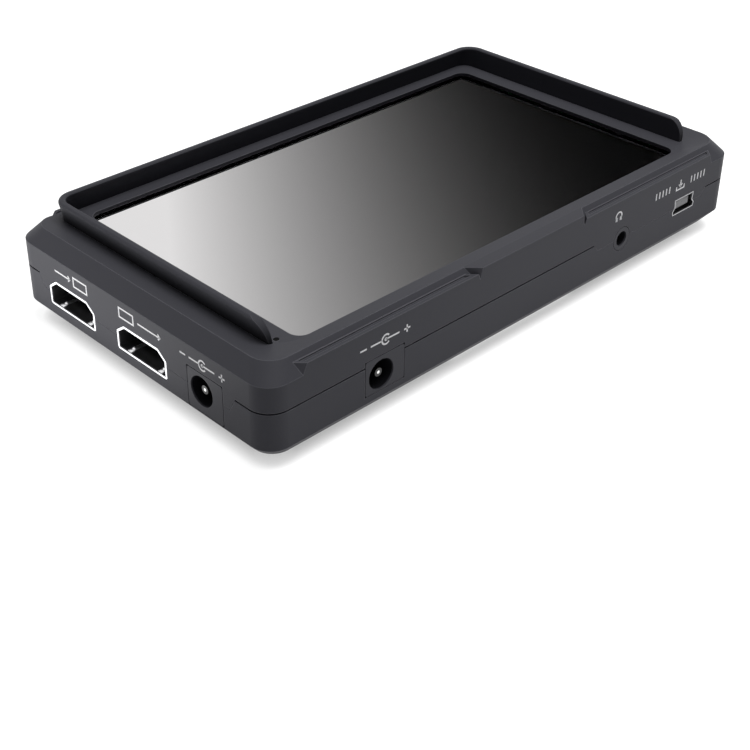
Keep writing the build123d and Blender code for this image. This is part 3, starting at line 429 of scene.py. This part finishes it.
def socket_finish(name, axis, face, shine=1.0):
    """Plated socket shell: a bright lip at the housing's face, and the metal deeper in painted darker as shade.
    axis is 0 or 1.
    """
    made, tree, shader = blank_material(name, metallic=1.0)
    lip_depth = 0.30 * MM
    shaded_share = 0.30
    depth = math_node(tree, "SUBTRACT", axis_sockets(tree)[axis], face)
    recess_shade = math_node(tree, "GREATER_THAN", depth, lip_depth)
    bright = tuple(channel * shine for channel in finish_settings().socket_metal)
    # Painted shade: past the lip the same metal is darkened
    colour = mix_colours(tree, recess_shade, bright, tuple(channel * shaded_share for channel in bright))
    place_group(tree, shader, brushed_group(), colour, Along=EVEN, Roughness=0.34)
    return made


def pin_finish(name, axis, node):
    """Turned pin painted dark as shade, with a painted highlight on the middle of its tip. axis, 0 or 1, is the
    way it points.
    """
    made, tree, shader = blank_material(name, metallic=1.0)
    places = axis_sockets(tree)
    centre = middle(node)
    highlight_radius = 0.34 * MM
    off_axis = math_node(tree, "SUBTRACT", places[1 - axis], centre[1 - axis])
    off_height = math_node(tree, "SUBTRACT", places[2], centre.z)
    squares = math_node(tree, "ADD", math_node(tree, "MULTIPLY", off_axis, off_axis),
                        math_node(tree, "MULTIPLY", off_height, off_height))
    tip = math_node(tree, "LESS_THAN", math_node(tree, "SQRT", squares), highlight_radius)
    # Painted shade on the pin, and a painted highlight inside highlight_radius of its axis
    colour = mix_colours(tree, tip, (0.05, 0.05, 0.05), (0.75, 0.75, 0.74))
    place_group(tree, shader, brushed_group(), colour, Along=EVEN, Roughness=0.3)
    return made


def paint(material, *nodes):
    """Gives CAD nodes one material."""
    for node in nodes:
        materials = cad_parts[node].data.materials
        materials.clear()
        materials.append(material)


# Finishes

def housing_finish():
    """Black spark-eroded plastic of the rear housing half."""
    return plastic("housing_plastic", finish_settings().housing, roughness=0.55, specular=0.12, edge=1.3, wear=2.5)


def all_of(tree, *masks):
    """One where every mask is one."""
    both = masks[0]
    for mask in masks[1:]:
        both = math_node(tree, "MULTIPLY", both, mask)
    return both


def surround_finish():
    """The same plastic on the front half, blacked where the window's cut edge faces the screen."""
    settings = finish_settings()
    made, tree, shader = blank_material("surround_plastic", specular=0.12)
    x, y, z = axis_sockets(tree)
    skin = 0.08 * MM
    within_x = math_node(tree, "LESS_THAN", math_node(tree, "ABSOLUTE", x), WINDOW_X + skin)
    within_y = math_node(tree, "LESS_THAN", math_node(tree, "ABSOLUTE", y), WINDOW_Y + skin)
    below = math_node(tree, "LESS_THAN", z, SURROUND_Z - skin)
    colour = mix_colours(tree, all_of(tree, within_x, within_y, below), settings.housing, settings.hood_inside)
    mould(tree, shader, colour, roughness=0.55, edge=1.4, wear=3.5)
    return made


def hood_finish():
    """Hood plastic: like the housing outside, with painted shade that darkens it toward its foot, and black on the
    faces round the screen.
    """
    settings = finish_settings()
    made, tree, shader = blank_material("hood_plastic", specular=0.10)
    x, y, z = axis_sockets(tree)
    skin = 0.10 * MM
    rim = 0.35 * MM
    foot_z, rim_z = low("sun_hood").z, high("sun_hood").z
    rise = math_node(tree, "DIVIDE", math_node(tree, "SUBTRACT", z, foot_z), rim_z - foot_z)
    inner_x = math_node(tree, "ADD", math_node(tree, "MULTIPLY", rise, HOOD_DRAFT), HOOD_INNER_X + skin)
    inner_y = math_node(tree, "SUBTRACT", HOOD_INNER_Y + skin, math_node(tree, "MULTIPLY", rise, HOOD_BACK_DRAFT))
    within_x = math_node(tree, "LESS_THAN", math_node(tree, "ABSOLUTE", x), inner_x)
    within_y = math_node(tree, "LESS_THAN", y, inner_y)
    below_rim = math_node(tree, "LESS_THAN", z, rim_z - rim)
    # Painted shade: the outer faces darken toward the hood's foot
    foot_shade_share = 0.22
    shade_fade = 1.6
    darkest = tuple(channel * foot_shade_share for channel in settings.housing)
    shade_climb = math_node(tree, "MINIMUM", math_node(tree, "POWER", math_node(tree, "MAXIMUM", rise), shade_fade), 1.0)
    shaded_outside = mix_colours(tree, shade_climb, darkest, settings.housing)
    colour = mix_colours(tree, all_of(tree, within_x, within_y, below_rim), shaded_outside, settings.hood_inside)
    mould(tree, shader, colour, roughness=0.62, patchiness=0.1, edge=1.6, wear=1.2)
    return made


def jack_finish(name, axis, face):
    """Moulded jack: its front matches the housing, and its bore is painted black as shade. axis is 0 or 1."""
    made, tree, shader = blank_material(name, specular=0.12)
    front_depth = 0.40 * MM
    depth = math_node(tree, "SUBTRACT", axis_sockets(tree)[axis], face)
    recess_shade = math_node(tree, "GREATER_THAN", depth, front_depth)
    # Painted shade: the same plastic is near black inside the bore
    colour = mix_colours(tree, recess_shade, finish_settings().housing, (0.008, 0.008, 0.010))
    mould(tree, shader, colour, roughness=0.5, patchiness=0.06, edge=0.5)
    return made


def insert_finish():
    """Turned brass of the mounting insert."""
    return metal("insert_brass", (0.62, 0.42, 0.16), roughness=0.32, along=(4000, 4000, 300))


def glass_finish():
    """Cover glass whose coating takes its reflection away. Faint wipe marks soften what is seen through it."""
    made, tree, shader = blank_material("cover_glass")
    shader.inputs["Transmission Weight"].default_value = 1.0
    shader.inputs["IOR"].default_value = 1.0
    shader.inputs["Base Color"].default_value = (0.985, 0.970, 0.972, 1)
    wipes = object_noise(tree, Scale=60.0, Detail=4.0)
    least, swing = 0.01, 0.03
    amount = math_node(tree, "ADD", math_node(tree, "MULTIPLY", wipes.outputs["Fac"], swing), least)
    tree.links.new(amount, shader.inputs["Roughness"])
    return made


def screen_sheen_finish():
    """The cell glows with a grey ramp from corner to corner, a painted sheen across the screen, over a fine grid
    of picture points.
    """
    made, tree, shader = blank_material("screen_painted_sheen", specular=0.0)
    shader.inputs["Base Color"].default_value = (*SHADE_AND_CELL_BLACK, 1)
    shader.inputs["Roughness"].default_value = 0.4
    shader.inputs["Emission Strength"].default_value = 1.0
    x, y = axis_sockets(tree)[:2]
    turn = math.radians(35.3)
    ramp_start = -51.6 * MM
    ramp_length = 123.3 * MM
    brightest, darkest, fall = 0.78, 0.0005, 3.5
    along = math_node(tree, "SUBTRACT", math_node(tree, "MULTIPLY", x, math.cos(turn)),
                      math_node(tree, "MULTIPLY", y, math.sin(turn)))
    fraction = math_node(tree, "DIVIDE", math_node(tree, "SUBTRACT", along, ramp_start), ramp_length)
    fraction = math_node(tree, "MAXIMUM", math_node(tree, "MINIMUM", fraction, 1.0))
    left = math_node(tree, "SUBTRACT", 1.0, fraction)
    # Painted sheen: the glow falls from bright at one corner to dark at the other
    light = math_node(tree, "MULTIPLY", math_node(tree, "POWER", left, fall), brightest)
    sheen_ramp = grey(tree, math_node(tree, "ADD", light, darkest))
    pitch = 0.126 * MM
    depth = 0.02
    waves = []
    for axis in (x, y):
        wave = math_node(tree, "SINE", math_node(tree, "MULTIPLY", axis, 2 * math.pi / pitch))
        waves.append(math_node(tree, "ADD", math_node(tree, "MULTIPLY", wave, depth), 1 - depth))
    points = grey(tree, all_of(tree, *waves))
    tree.links.new(mix_colours(tree, 1.0, sheen_ramp, points, "MULTIPLY"), shader.inputs["Emission Color"])
    return made


def board_finish():
    """Green circuit board with fine copper tracks under its lacquer."""
    made, tree, shader = blank_material("circuit_board")
    place = tree.nodes.new("ShaderNodeTexCoord")
    tracks = add_node(tree, "ShaderNodeTexBrick", Scale=260.0, Color1=(0.010, 0.075, 0.030, 1),
                      Color2=(0.014, 0.095, 0.040, 1), Mortar=(0.030, 0.170, 0.070, 1))
    tree.links.new(place.outputs["Object"], tracks.inputs["Vector"])
    place_group(tree, shader, moulding_group(), tracks.outputs["Color"], Grain_Size=0.6 * MM,
                Grain_Depth=0.004 * MM, Edge_Radius=0.05 * MM, Patchiness=0.1, Roughness=0.35)
    return made


def print_finish():
    """Pad-printed ink, a little uneven."""
    colour = finish_settings().print_colour
    return plastic("printed_ink", colour, roughness=0.55, grain=0.4, patchiness=0.12, edge=0.0)


def shared(name, maker):
    """A material that several pieces use, made once."""
    return bpy.data.materials.get(name) or maker()


# Mesh tools

def new_piece(name, mesh_maker, material):
    """A piece of the monitor's body, from a function that fills a bmesh."""
    mesh = bpy.data.meshes.new(name)
    filled = bmesh.new()
    mesh_maker(filled)
    bmesh.ops.recalc_face_normals(filled, faces=filled.faces)
    filled.to_mesh(mesh)
    filled.free()
    piece = bpy.data.objects.new(name, mesh)
    bpy.context.scene.collection.objects.link(piece)
    piece.data.materials.append(material)
    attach(piece, BODY)
    return piece


class Face:
    """A flat place that takes marks: its middle, the way a reader's right hand points, and the way up."""

    def __init__(self, origin, right, up):
        self.origin = Vector(origin)
        self.right = Vector(right)
        self.up = Vector(up)
        self.out = self.right.cross(self.up)

    def at(self, across, along, off):
        """A point of the face: across and along it, and off it, in metres."""
        return self.origin + self.right * across + self.up * along + self.out * off


def stroke_sides(points, width, closed):
    """Left and right edges of a stroke along some points, mitred at the corners."""
    count = len(points)
    sharpest = 0.4
    lefts, rights = [], []
    for here in range(count):
        before = points[(here - 1) % count] if closed or here else points[here]
        after = points[(here + 1) % count] if closed or here < count - 1 else points[here]
        arriving = (points[here] - before).normalized() if before != points[here] else None
        leaving = (after - points[here]).normalized() if after != points[here] else None
        first = arriving or leaving
        second = leaving or arriving
        across = Vector((-(first + second).y, (first + second).x)).normalized()
        reach = width / 2 / max(sharpest, across.dot(Vector((-first.y, first.x))))
        lefts.append(points[here] + across * reach)
        rights.append(points[here] - across * reach)
    return lefts, rights


def tube(filled, rings, closed=False):
    """Skin over rings of points that lie one after another, capped at its ends unless it is closed."""
    rings = [[filled.verts.new(point) for point in ring] for ring in rings]
    sides = len(rings[0])
    for here in range(len(rings) if closed else len(rings) - 1):
        before, after = rings[here], rings[(here + 1) % len(rings)]
        for side in range(sides):
            beside = (side + 1) % sides
            filled.faces.new((before[side], before[beside], after[beside], after[side]))
    if not closed:
        filled.faces.new(rings[0])
        filled.faces.new(rings[-1])


def stroke(filled, face, points, width, thickness, closed=False):
    """A band of one width through some points of a face, such as a printed line."""
    rings = []
    for left, right in zip(*stroke_sides([Vector(point) for point in points], width, closed)):
        corners = ((left, 0), (right, 0), (right, thickness), (left, thickness))
        rings.append([face.at(point.x, point.y, off) for point, off in corners])
    tube(filled, rings, closed)


def arc(centre, radius, start, end, steps=14):
    """Points along an arc, its angles in degrees."""
    turned = [math.radians(start + (end - start) * step / steps) for step in range(steps + 1)]
    return [(centre[0] + radius * math.cos(angle), centre[1] + radius * math.sin(angle)) for angle in turned]


# Marks, each drawn in a box one unit high from its lower left corner, as lists of (points, closed)

def box_mark(start, wide):
    """A screen outline."""
    end = start + wide
    return [([(start, 0), (end, 0), (end, 1), (start, 1)], True)]


def arrow_mark(start, end, level, head=0.30):
    """An arrow from start to end at one level."""
    back = end - math.copysign(head, end - start)
    tip = [(back, level + head), (end, level), (back, level - head)]
    return [([(start, level), (end, level)], False), (tip, False)]


MARKS = {
    "one": [([(0.12, 0.76), (0.36, 0.98), (0.36, 0)], False)],
    "two": [(arc((0.32, 0.68), 0.30, 165, -35, 12) + [(0.0, 0.02), (0.66, 0.02)], False)],
    "left": [([(0.62, 0.95), (0.0, 0.5), (0.62, 0.05)], False)],
    "right": [([(0.0, 0.95), (0.62, 0.5), (0.0, 0.05)], False)],
    "down": [([(0.0, 0.78), (0.45, 0.18), (0.90, 0.78)], False)],
    "up": [([(0.0, 0.22), (0.45, 0.82), (0.90, 0.22)], False)],
    "menu": [([(0, level), (1.5, level)], False) for level in (0.08, 0.5, 0.92)],
    "power": [(arc((0.48, 0.44), 0.44, 122, 418, 20), False), ([(0.48, 1.08), (0.48, 0.52)], False)],
    "phones": [(arc((0.50, 0.55), 0.48, 205, -25, 18), False), ([(0.08, 0.0), (0.08, 0.46)], False),
               ([(0.92, 0.0), (0.92, 0.46)], False), ([(0.21, 0.0), (0.21, 0.46)], False),
               ([(0.79, 0.0), (0.79, 0.46)], False)],
    "picture_in": arrow_mark(0, 2.6, 0.5) + box_mark(3.2, 2.2),
    "picture_out": box_mark(0, 2.2) + arrow_mark(2.9, 6.3, 0.5),
    "supply_in": [(arc((3.2, 0.5), 0.5, 40, 320, 18), False), (arc((3.2, 0.5), 0.10, 0, 300, 5), True),
                  ([(1.3, 0.5), (2.7, 0.5)], False), ([(3.2, 0.5), (4.9, 0.5)], False),
                  ([(0, 0.5), (0.8, 0.5)], False), ([(5.5, 0.5), (6.3, 0.5)], False),
                  ([(5.9, 0.1), (5.9, 0.9)], False)],
    "tray": [([(3.7, 0.42), (3.7, 0), (5.1, 0), (5.1, 0.42)], False), ([(4.4, 1.1), (4.4, 0.3)], False),
             ([(4.1, 0.60), (4.4, 0.29), (4.7, 0.60)], False)]
            + [([(u, 0.1), (u, 0.9)], False) for u in (0, 0.6, 1.2, 1.8, 2.4, 6.4, 7.0, 7.6, 8.2, 8.8)],
}


def print_mark(name, mark, face, height, weight=1.0):
    """Prints one mark on a face, centred on the face's origin."""
    sizes = print_settings()
    lines = [([(u * height, v * height) for u, v in points], closed) for points, closed in MARKS[mark]]
    across = [u for points, _ in lines for u, _ in points]
    along = [v for points, _ in lines for _, v in points]
    middle_u = (min(across) + max(across)) / 2
    middle_v = (min(along) + max(along)) / 2

    def fill(filled):
        for points, closed in lines:
            moved = [(u - middle_u, v - middle_v) for u, v in points]
            stroke(filled, face, moved, sizes.stroke * weight, sizes.thickness, closed)

    new_piece(name, fill, shared("printed_ink", print_finish))


def contact_spring(name, shell, side, material):
    """A pressed spring on the floor of a video socket, with a dimple that grips the plug. side is 1 or -1."""
    floor = low(shell).z + SHELL_WALL
    inset, off_middle, aside = 1.6 * MM, 5.1 * MM, -0.35 * MM
    crest = Vector((low(shell).x + inset, middle(shell).y + side * off_middle + aside, floor))
    front, width = 1.3 * MM, 1.2 * MM
    strip = Face(crest + Vector((-front, width / 2, 0)), (1, 0, 0), (0, 0, 1))
    length, sheet = 4.0 * MM, 0.16 * MM
    low_level, crest_level = 0.05 * MM, 0.14 * MM
    dimple_radius, dimple_level = 0.48 * MM, 0.10 * MM

    def fill(filled):
        stroke(filled, strip, [(0, low_level), (front, crest_level), (length, low_level)], sheet, width)
        dimple = bmesh.ops.create_uvsphere(filled, u_segments=20, v_segments=12, radius=dimple_radius)
        bmesh.ops.translate(filled, verts=dimple["verts"], vec=crest + Vector((0, 0, dimple_level)))
        for face in filled.faces:
            face.smooth = True

    new_piece(name, fill, material)


def coil(filled, centre, bottom, top, radius, wire, turns):
    """A wound wire round a vertical line, between two heights. wire is its radius."""
    steps_a_turn, sides = 24, 8
    steps = steps_a_turn * turns
    rings = []
    for step in range(steps + 1):
        share = step / steps
        angle = 2 * math.pi * turns * share
        outward = Vector((math.cos(angle), math.sin(angle), 0))
        spot = Vector((centre.x, centre.y, bottom + wire + (top - bottom - 2 * wire) * share)) + outward * radius
        around = [2 * math.pi * side / sides for side in range(sides)]
        rings.append([spot + outward * wire * math.cos(turned) + Vector((0, 0, wire * math.sin(turned)))
                      for turned in around])
    tube(filled, rings)


def cross_recesses(name, node, sides, head_radius, width, material):
    """Cross-shaped drive recesses on screw heads that face down, at the corners or ends of a node's box.

    Each is a thin plate on its head, painted black as the recess's shade.
    """
    bottom, top = low(node), high(node)
    reach_x = (top.x - bottom.x) / 2 - head_radius
    ends_y = (bottom.y + head_radius, top.y - head_radius)
    arm, half, thickness = width / 2, 0.28 * MM, 0.01 * MM
    outline = []
    for turn in range(4):
        for u, v in ((half, arm), (half, half), (arm, half)):
            for _ in range(turn):
                u, v = v, -u
            outline.append((u, v))

    def fill(filled):
        for side in sides:
            for y in ends_y:
                head = Face((middle(node).x + side * reach_x, y, bottom.z), (1, 0, 0), (0, -1, 0))
                tube(filled, [[head.at(u, v, off) for u, v in outline] for off in (0, thickness)])

    new_piece(name, fill, material)


def thread_ridge(material):
    """The crest of the thread in the mounting insert."""
    bottom, top = low("mount_insert"), high("mount_insert")
    clear, wire, turns = 0.2 * MM, 0.16 * MM, 5

    def fill(filled):
        coil(filled, middle("mount_insert"), bottom.z + clear, top.z - clear, INSERT_BORE_RADIUS, wire, turns)

    new_piece("mount_thread", fill, material)


def latch_coil(material):
    """The latch's spring, wound in place of the CAD spring, which it hides."""
    bottom, top = low("latch_spring"), high("latch_spring")
    centre = middle("latch_spring")
    wire, turns = 0.25 * MM, 4
    radius = (top.x - bottom.x) / 2 - wire

    def fill(filled):
        coil(filled, centre, bottom.z, top.z, radius, wire, turns)

    piece = new_piece("latch_spring_coil", fill, material)
    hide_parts("latch_spring")
    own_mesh(piece)


# Operators

class MONITOR_OT_housing(bpy.types.Operator):
    """Finish the housing halves, the battery plate and the latch"""
    bl_idname = "monitor.housing"
    bl_label = "Housing"

    def execute(self, context):
        paint(surround_finish(), "front_shell")
        paint(housing_finish(), "rear_shell")
        paint(shared("insert_brass", insert_finish), "mount_insert")
        plate = plastic("plate_plastic", (0.030, 0.030, 0.034), roughness=0.55, specular=0.35, grain=1.4)
        paint(plate, "battery_plate", "battery_latch", "latch_retainer", "terminal_block")
        return {"FINISHED"}


class MONITOR_OT_hood(bpy.types.Operator):
    """Finish the sun hood, dark on its inner faces"""
    bl_idname = "monitor.hood"
    bl_label = "Sun hood"

    def execute(self, context):
        paint(hood_finish(), "sun_hood")
        return {"FINISHED"}


class MONITOR_OT_screen(bpy.types.Operator):
    """Finish the cover glass, its seals and the cell, whose glow paints a sheen across the screen"""
    bl_idname = "monitor.screen"
    bl_label = "Screen"

    def execute(self, context):
        paint(glass_finish(), "cover_glass")
        paint(screen_sheen_finish(), "lcd_cell")
        foam = plastic("seal_foam", (0.012, 0.012, 0.013), roughness=0.9, specular=0.1, grain=1.0, patchiness=0.3)
        paint(foam, "glass_gasket", "foam_seal")
        diffuser = plastic("diffuser_plastic", (0.75, 0.75, 0.73), roughness=0.45, grain=0.6, patchiness=0.03)
        paint(diffuser, "backlight_unit")
        paint(metal("tray_steel", (0.62, 0.62, 0.63), roughness=0.35), "lcd_tray")
        return {"FINISHED"}


class MONITOR_OT_keys(bpy.types.Operator):
    """Finish the key caps, their stems and switches"""
    bl_idname = "monitor.keys"
    bl_label = "Keys"

    def execute(self, context):
        caps = plastic("key_plastic", finish_settings().keys, roughness=0.5, specular=0.15, grain=0.6, edge=2.0)
        stems = plastic("stem_plastic", (0.10, 0.10, 0.11), roughness=0.5, grain=0.7)
        for key in KEYS:
            paint(caps, key)
            paint(stems, key + "_stem")
        paint(plastic("switch_body", (0.02, 0.02, 0.02), roughness=0.4, grain=0.5), "key_switches")
        return {"FINISHED"}


class MONITOR_OT_key_legends(bpy.types.Operator):
    """Print a plain mark over each key"""
    bl_idname = "monitor.key_legends"
    bl_label = "Key legends"

    def execute(self, context):
        marks = ("one", "two", "left", "right", "menu", "down", "up", "power")
        level = BACK_Z + 3.9 * MM
        size, weight = 0.80, 0.65
        for key, mark in zip(KEYS, marks):
            face = Face((middle(key).x, PANEL_Y, level), (1, 0, 0), (0, 0, -1))
            print_mark(key + "_mark", mark, face, print_settings().height * size, weight)
        return {"FINISHED"}


class MONITOR_OT_socket_legends(bpy.types.Operator):
    """Print a plain mark by each socket"""
    bl_idname = "monitor.socket_legends"
    bl_label = "Socket legends"

    def execute(self, context):
        height = print_settings().height
        left_level = BACK_Z + 14.8 * MM
        foot_level = BACK_Z + 16.1 * MM
        left_marks = (("video_in_mark", "picture_in", "video_in_shell", -0.4 * MM),
                      ("video_out_mark", "picture_out", "video_out_shell", 0),
                      ("dc_in_mark", "supply_in", "dc_in_jack", 0.5 * MM))
        for name, mark, socket, aside in left_marks:
            place = (LEFT_X, middle(socket).y + aside, left_level)
            print_mark(name, mark, Face(place, (0, -1, 0), (0, 0, 1)), height)
        foot_marks = (("dc_out_mark", "supply_in", "dc_out_jack", 0),
                      ("headphone_mark", "phones", "headphone_jack", -1.9 * MM),
                      ("service_tray_mark", "tray", "service_socket_shell", -2.4 * MM))
        for name, mark, socket, aside in foot_marks:
            place = (middle(socket).x + aside, FOOT_Y, foot_level)
            print_mark(name, mark, Face(place, (1, 0, 0), (0, 0, 1)), height)
        return {"FINISHED"}


class MONITOR_OT_sockets(bpy.types.Operator):
    """Finish the sockets, jacks and their contacts, and make the springs in the video sockets"""
    bl_idname = "monitor.sockets"
    bl_label = "Sockets"

    def execute(self, context):
        paint(socket_finish("video_socket_metal", 0, low("video_in_shell").x), "video_in_shell", "video_out_shell")
        paint(socket_finish("service_socket_metal", 1, low("service_socket_shell").y, shine=0.55),
              "service_socket_shell")
        tongue = plastic("socket_tongue", (0.035, 0.035, 0.037), roughness=0.4, specular=0.3, grain=0.5)
        paint(tongue, "video_in_tongue", "video_out_tongue")
        paint(plastic("service_tongue", (0.26, 0.26, 0.27), roughness=0.4, specular=0.3, grain=0.5),
              "service_socket_tongue")
        paint(jack_finish("dc_in_body", 0, LEFT_X), "dc_in_jack")
        paint(jack_finish("dc_out_body", 1, FOOT_Y), "dc_out_jack")
        paint(jack_finish("headphone_body", 1, FOOT_Y), "headphone_jack")
        paint(pin_finish("dc_in_pin_metal", 0, "dc_in_pin"), "dc_in_pin")
        paint(pin_finish("dc_out_pin_metal", 1, "dc_out_pin"), "dc_out_pin")
        springs = metal("spring_plating", (0.80, 0.80, 0.81), roughness=0.35, along=EVEN)
        for shell in ("video_in_shell", "video_out_shell"):
            for side in (-1, 1):
                contact_spring(f"{shell}_spring_{'left' if side > 0 else 'right'}", shell, side, springs)
        paint(metal("contact_gold", (0.80, 0.60, 0.25), roughness=0.25), "battery_contacts")
        return {"FINISHED"}


class MONITOR_OT_boards(bpy.types.Operator):
    """Finish the circuit boards and what they carry"""
    bl_idname = "monitor.boards"
    bl_label = "Boards"

    def execute(self, context):
        paint(board_finish(), "main_board", "key_board")
        paint(plastic("flat_cable", (0.20, 0.09, 0.02), roughness=0.35, grain=0.6), "lcd_flex", "key_flex")
        chip = plastic("chip_epoxy", (0.014, 0.014, 0.015), roughness=0.5, grain=0.5)
        paint(chip, "processor_chip", "board_chips", "power_parts")
        paint(metal("sink_anodised", (0.10, 0.10, 0.11), roughness=0.45), "heat_sink")
        return {"FINISHED"}


class MONITOR_OT_light(bpy.types.Operator):
    """Finish the status light and its pipe"""
    bl_idname = "monitor.light"
    bl_label = "Status light"

    def execute(self, context):
        paint(plastic("led_body", (0.55, 0.50, 0.30), roughness=0.3, grain=0.3), "status_led")
        # Painted shade: the light pipe is black, as the shade in its small hole
        paint(plastic("light_pipe", SHADE_AND_CELL_BLACK, roughness=0.6, specular=0.05, grain=0.3), "light_pipe")
        return {"FINISHED"}


class MONITOR_OT_fasteners(bpy.types.Operator):
    """Finish the screws, and make their recesses, the insert's thread and the latch spring"""
    bl_idname = "monitor.fasteners"
    bl_label = "Fasteners"

    def execute(self, context):
        zinc = metal("black_zinc", (0.05, 0.05, 0.055), roughness=0.35)
        paint(zinc, "case_screws", "plate_screws", "board_screws")
        # Painted shade: black plates stand for the shade inside the cross recesses
        painted_recess_shade = plastic("recess_shade", SHADE_AND_CELL_BLACK, roughness=0.8, specular=0.05, grain=0.3, edge=0.0)
        cross_recesses("case_screw_recesses", "case_screws", (-1, 1), CASE_HEAD_RADIUS, CASE_CROSS, painted_recess_shade)
        cross_recesses("plate_screw_recesses", "plate_screws", (0,), PLATE_HEAD_RADIUS, PLATE_CROSS, painted_recess_shade)
        thread_ridge(shared("insert_brass", insert_finish))
        latch_coil(metal("spring_steel", (0.55, 0.55, 0.56), roughness=0.3))
        return {"FINISHED"}


class MONITOR_OT_stage(bpy.types.Operator):
    """Set out the floor, the lamps and the camera"""
    bl_idname = "monitor.stage"
    bl_label = "Stage"

    def execute(self, context):
        stage_floor()
        stage_world()
        stage_lamps()
        stage_camera()
        context.scene.view_settings.view_transform = "Standard"
        return {"FINISHED"}


def stage_floor():
    """A plain pale floor that keeps a faint shadow from the lamps, with a painted contact shadow in its glow."""
    reach = 6.0
    corners = [(-reach, -reach), (reach, -reach), (reach, reach), (-reach, reach)]
    mesh = bpy.data.meshes.new("floor")
    mesh.from_pydata([(x, y, FLOOR_Z) for x, y in corners], [], [(0, 1, 2, 3)])
    floor = bpy.data.objects.new("floor", mesh)
    bpy.context.scene.collection.objects.link(floor)
    made, tree, shader = blank_material("floor_paper", specular=0.0)
    shader.inputs["Roughness"].default_value = 0.9
    fibres = object_noise(tree, Scale=900.0, Detail=2.0)
    contrast = 0.01
    shade = math_node(tree, "ADD", math_node(tree, "MULTIPLY", fibres.outputs["Fac"], contrast), 1 - contrast)
    colour = mix_colours(tree, 1.0, bpy.context.scene.monitor_stage.floor, grey(tree, shade), "MULTIPLY")
    tree.links.new(colour, shader.inputs["Base Color"])
    # Painted shadow: the glow the camera sees fades where the monitor is near
    shadow_reach = 3 * MM
    painted_contact_shadow = add_node(tree, "ShaderNodeAmbientOcclusion", samples=8, Distance=shadow_reach)
    glow_with_painted_shadow = math_node(tree, "MULTIPLY", background_rays(tree), painted_contact_shadow.outputs["AO"])
    tree.links.new(mix_colours(tree, glow_with_painted_shadow, (0, 0, 0), (1, 1, 1)), shader.inputs["Emission Color"])
    shader.inputs["Emission Strength"].default_value = 0.9
    floor.data.materials.append(made)


def stage_world():
    """Even light from all round, and a white background for the camera, glass and metal."""
    world = bpy.data.worlds.new("studio")
    bpy.context.scene.world = world
    world.use_nodes = True
    tree = world.node_tree
    tree.nodes.clear()
    target = tree.nodes.new("ShaderNodeOutputWorld")
    white = (1, 1, 1, 1)
    light = add_node(tree, "ShaderNodeBackground", Color=white, Strength=bpy.context.scene.monitor_stage.sky)
    background = add_node(tree, "ShaderNodeBackground", Color=white, Strength=1.0)
    choice = tree.nodes.new("ShaderNodeMixShader")
    tree.links.new(background_rays(tree), choice.inputs[0])
    tree.links.new(light.outputs[0], choice.inputs[1])
    tree.links.new(background.outputs[0], choice.inputs[2])
    tree.links.new(choice.outputs[0], target.inputs["Surface"])


def add_lamp(name, place, size, power, aim, shape="RECTANGLE"):
    """An area lamp that shines along aim. size is its width and length."""
    lamp = bpy.data.lights.new(name, "AREA")
    lamp.shape = shape
    lamp.size, lamp.size_y = size
    lamp.energy = power
    holder = bpy.data.objects.new(name, lamp)
    holder.location = place
    holder.rotation_euler = Vector(aim).to_track_quat("-Z", "Y").to_euler()
    holder.visible_camera = False
    bpy.context.scene.collection.objects.link(holder)


def stage_lamps():
    """A soft lamp overhead, and bright panels lying on the table left of the monitor and below it."""
    settings = bpy.context.scene.monitor_stage
    top = Vector((0.12, -0.20, 1.00))
    add_lamp("top_lamp", top, (0.8, 0.8), settings.top_power, -top, "DISK")
    up = (0, 0, 1)
    panel_z = FLOOR_Z + 0.5 * MM
    add_lamp("left_panel", (-0.24, 0.18, panel_z), (0.32, 0.38), settings.left_power, up)
    add_lamp("foot_panel", (0.14, -0.21, panel_z), (0.45, 0.32), settings.foot_power, up)


def stage_camera():
    """The camera, looking down over the socket corner."""
    settings = bpy.context.scene.monitor_stage
    lens = bpy.data.cameras.new("camera")
    lens.sensor_width = 36.0
    lens.lens = settings.lens
    lens.shift_x, lens.shift_y = settings.shift
    lens.clip_start = 1 * MM
    holder = bpy.data.objects.new("camera", lens)
    holder.location = settings.eye
    holder.rotation_euler = Vector(settings.aim).to_track_quat("-Z", "Y").to_euler()
    bpy.context.scene.collection.objects.link(holder)
    bpy.context.scene.camera = holder


OPERATORS = (MONITOR_OT_housing, MONITOR_OT_hood, MONITOR_OT_screen, MONITOR_OT_keys, MONITOR_OT_key_legends,
             MONITOR_OT_sockets, MONITOR_OT_socket_legends, MONITOR_OT_boards, MONITOR_OT_light,
             MONITOR_OT_fasteners, MONITOR_OT_stage)


class MONITOR_PT_sidebar(bpy.types.Panel):
    """Lists the operators in the sidebar"""
    bl_idname = "MONITOR_PT_sidebar"
    bl_label = "Camera field monitor"
    bl_space_type = "VIEW_3D"
    bl_region_type = "UI"
    bl_category = "Monitor"

    def draw(self, context):
        for operator in OPERATORS:
            self.layout.operator(operator.bl_idname)


SETTINGS = (("monitor_finish", MonitorFinish), ("monitor_print", MonitorPrint), ("monitor_stage", MonitorStage))


def register():
    """Adds the settings, operators and panel."""
    for name, group in SETTINGS:
        bpy.utils.register_class(group)
        setattr(bpy.types.Scene, name, PointerProperty(type=group))
    for made in (*OPERATORS, MONITOR_PT_sidebar):
        bpy.utils.register_class(made)


def unregister():
    """Takes the settings, operators and panel away."""
    for made in reversed((*OPERATORS, MONITOR_PT_sidebar)):
        bpy.utils.unregister_class(made)
    for name, group in reversed(SETTINGS):
        delattr(bpy.types.Scene, name)
        bpy.utils.unregister_class(group)


def main():
    """Builds every piece in order."""
    register()
    for operator in OPERATORS:
        name = operator.bl_idname.split(".")[1]
        getattr(bpy.ops.monitor, name)()


if __name__ == "__main__":
    main()
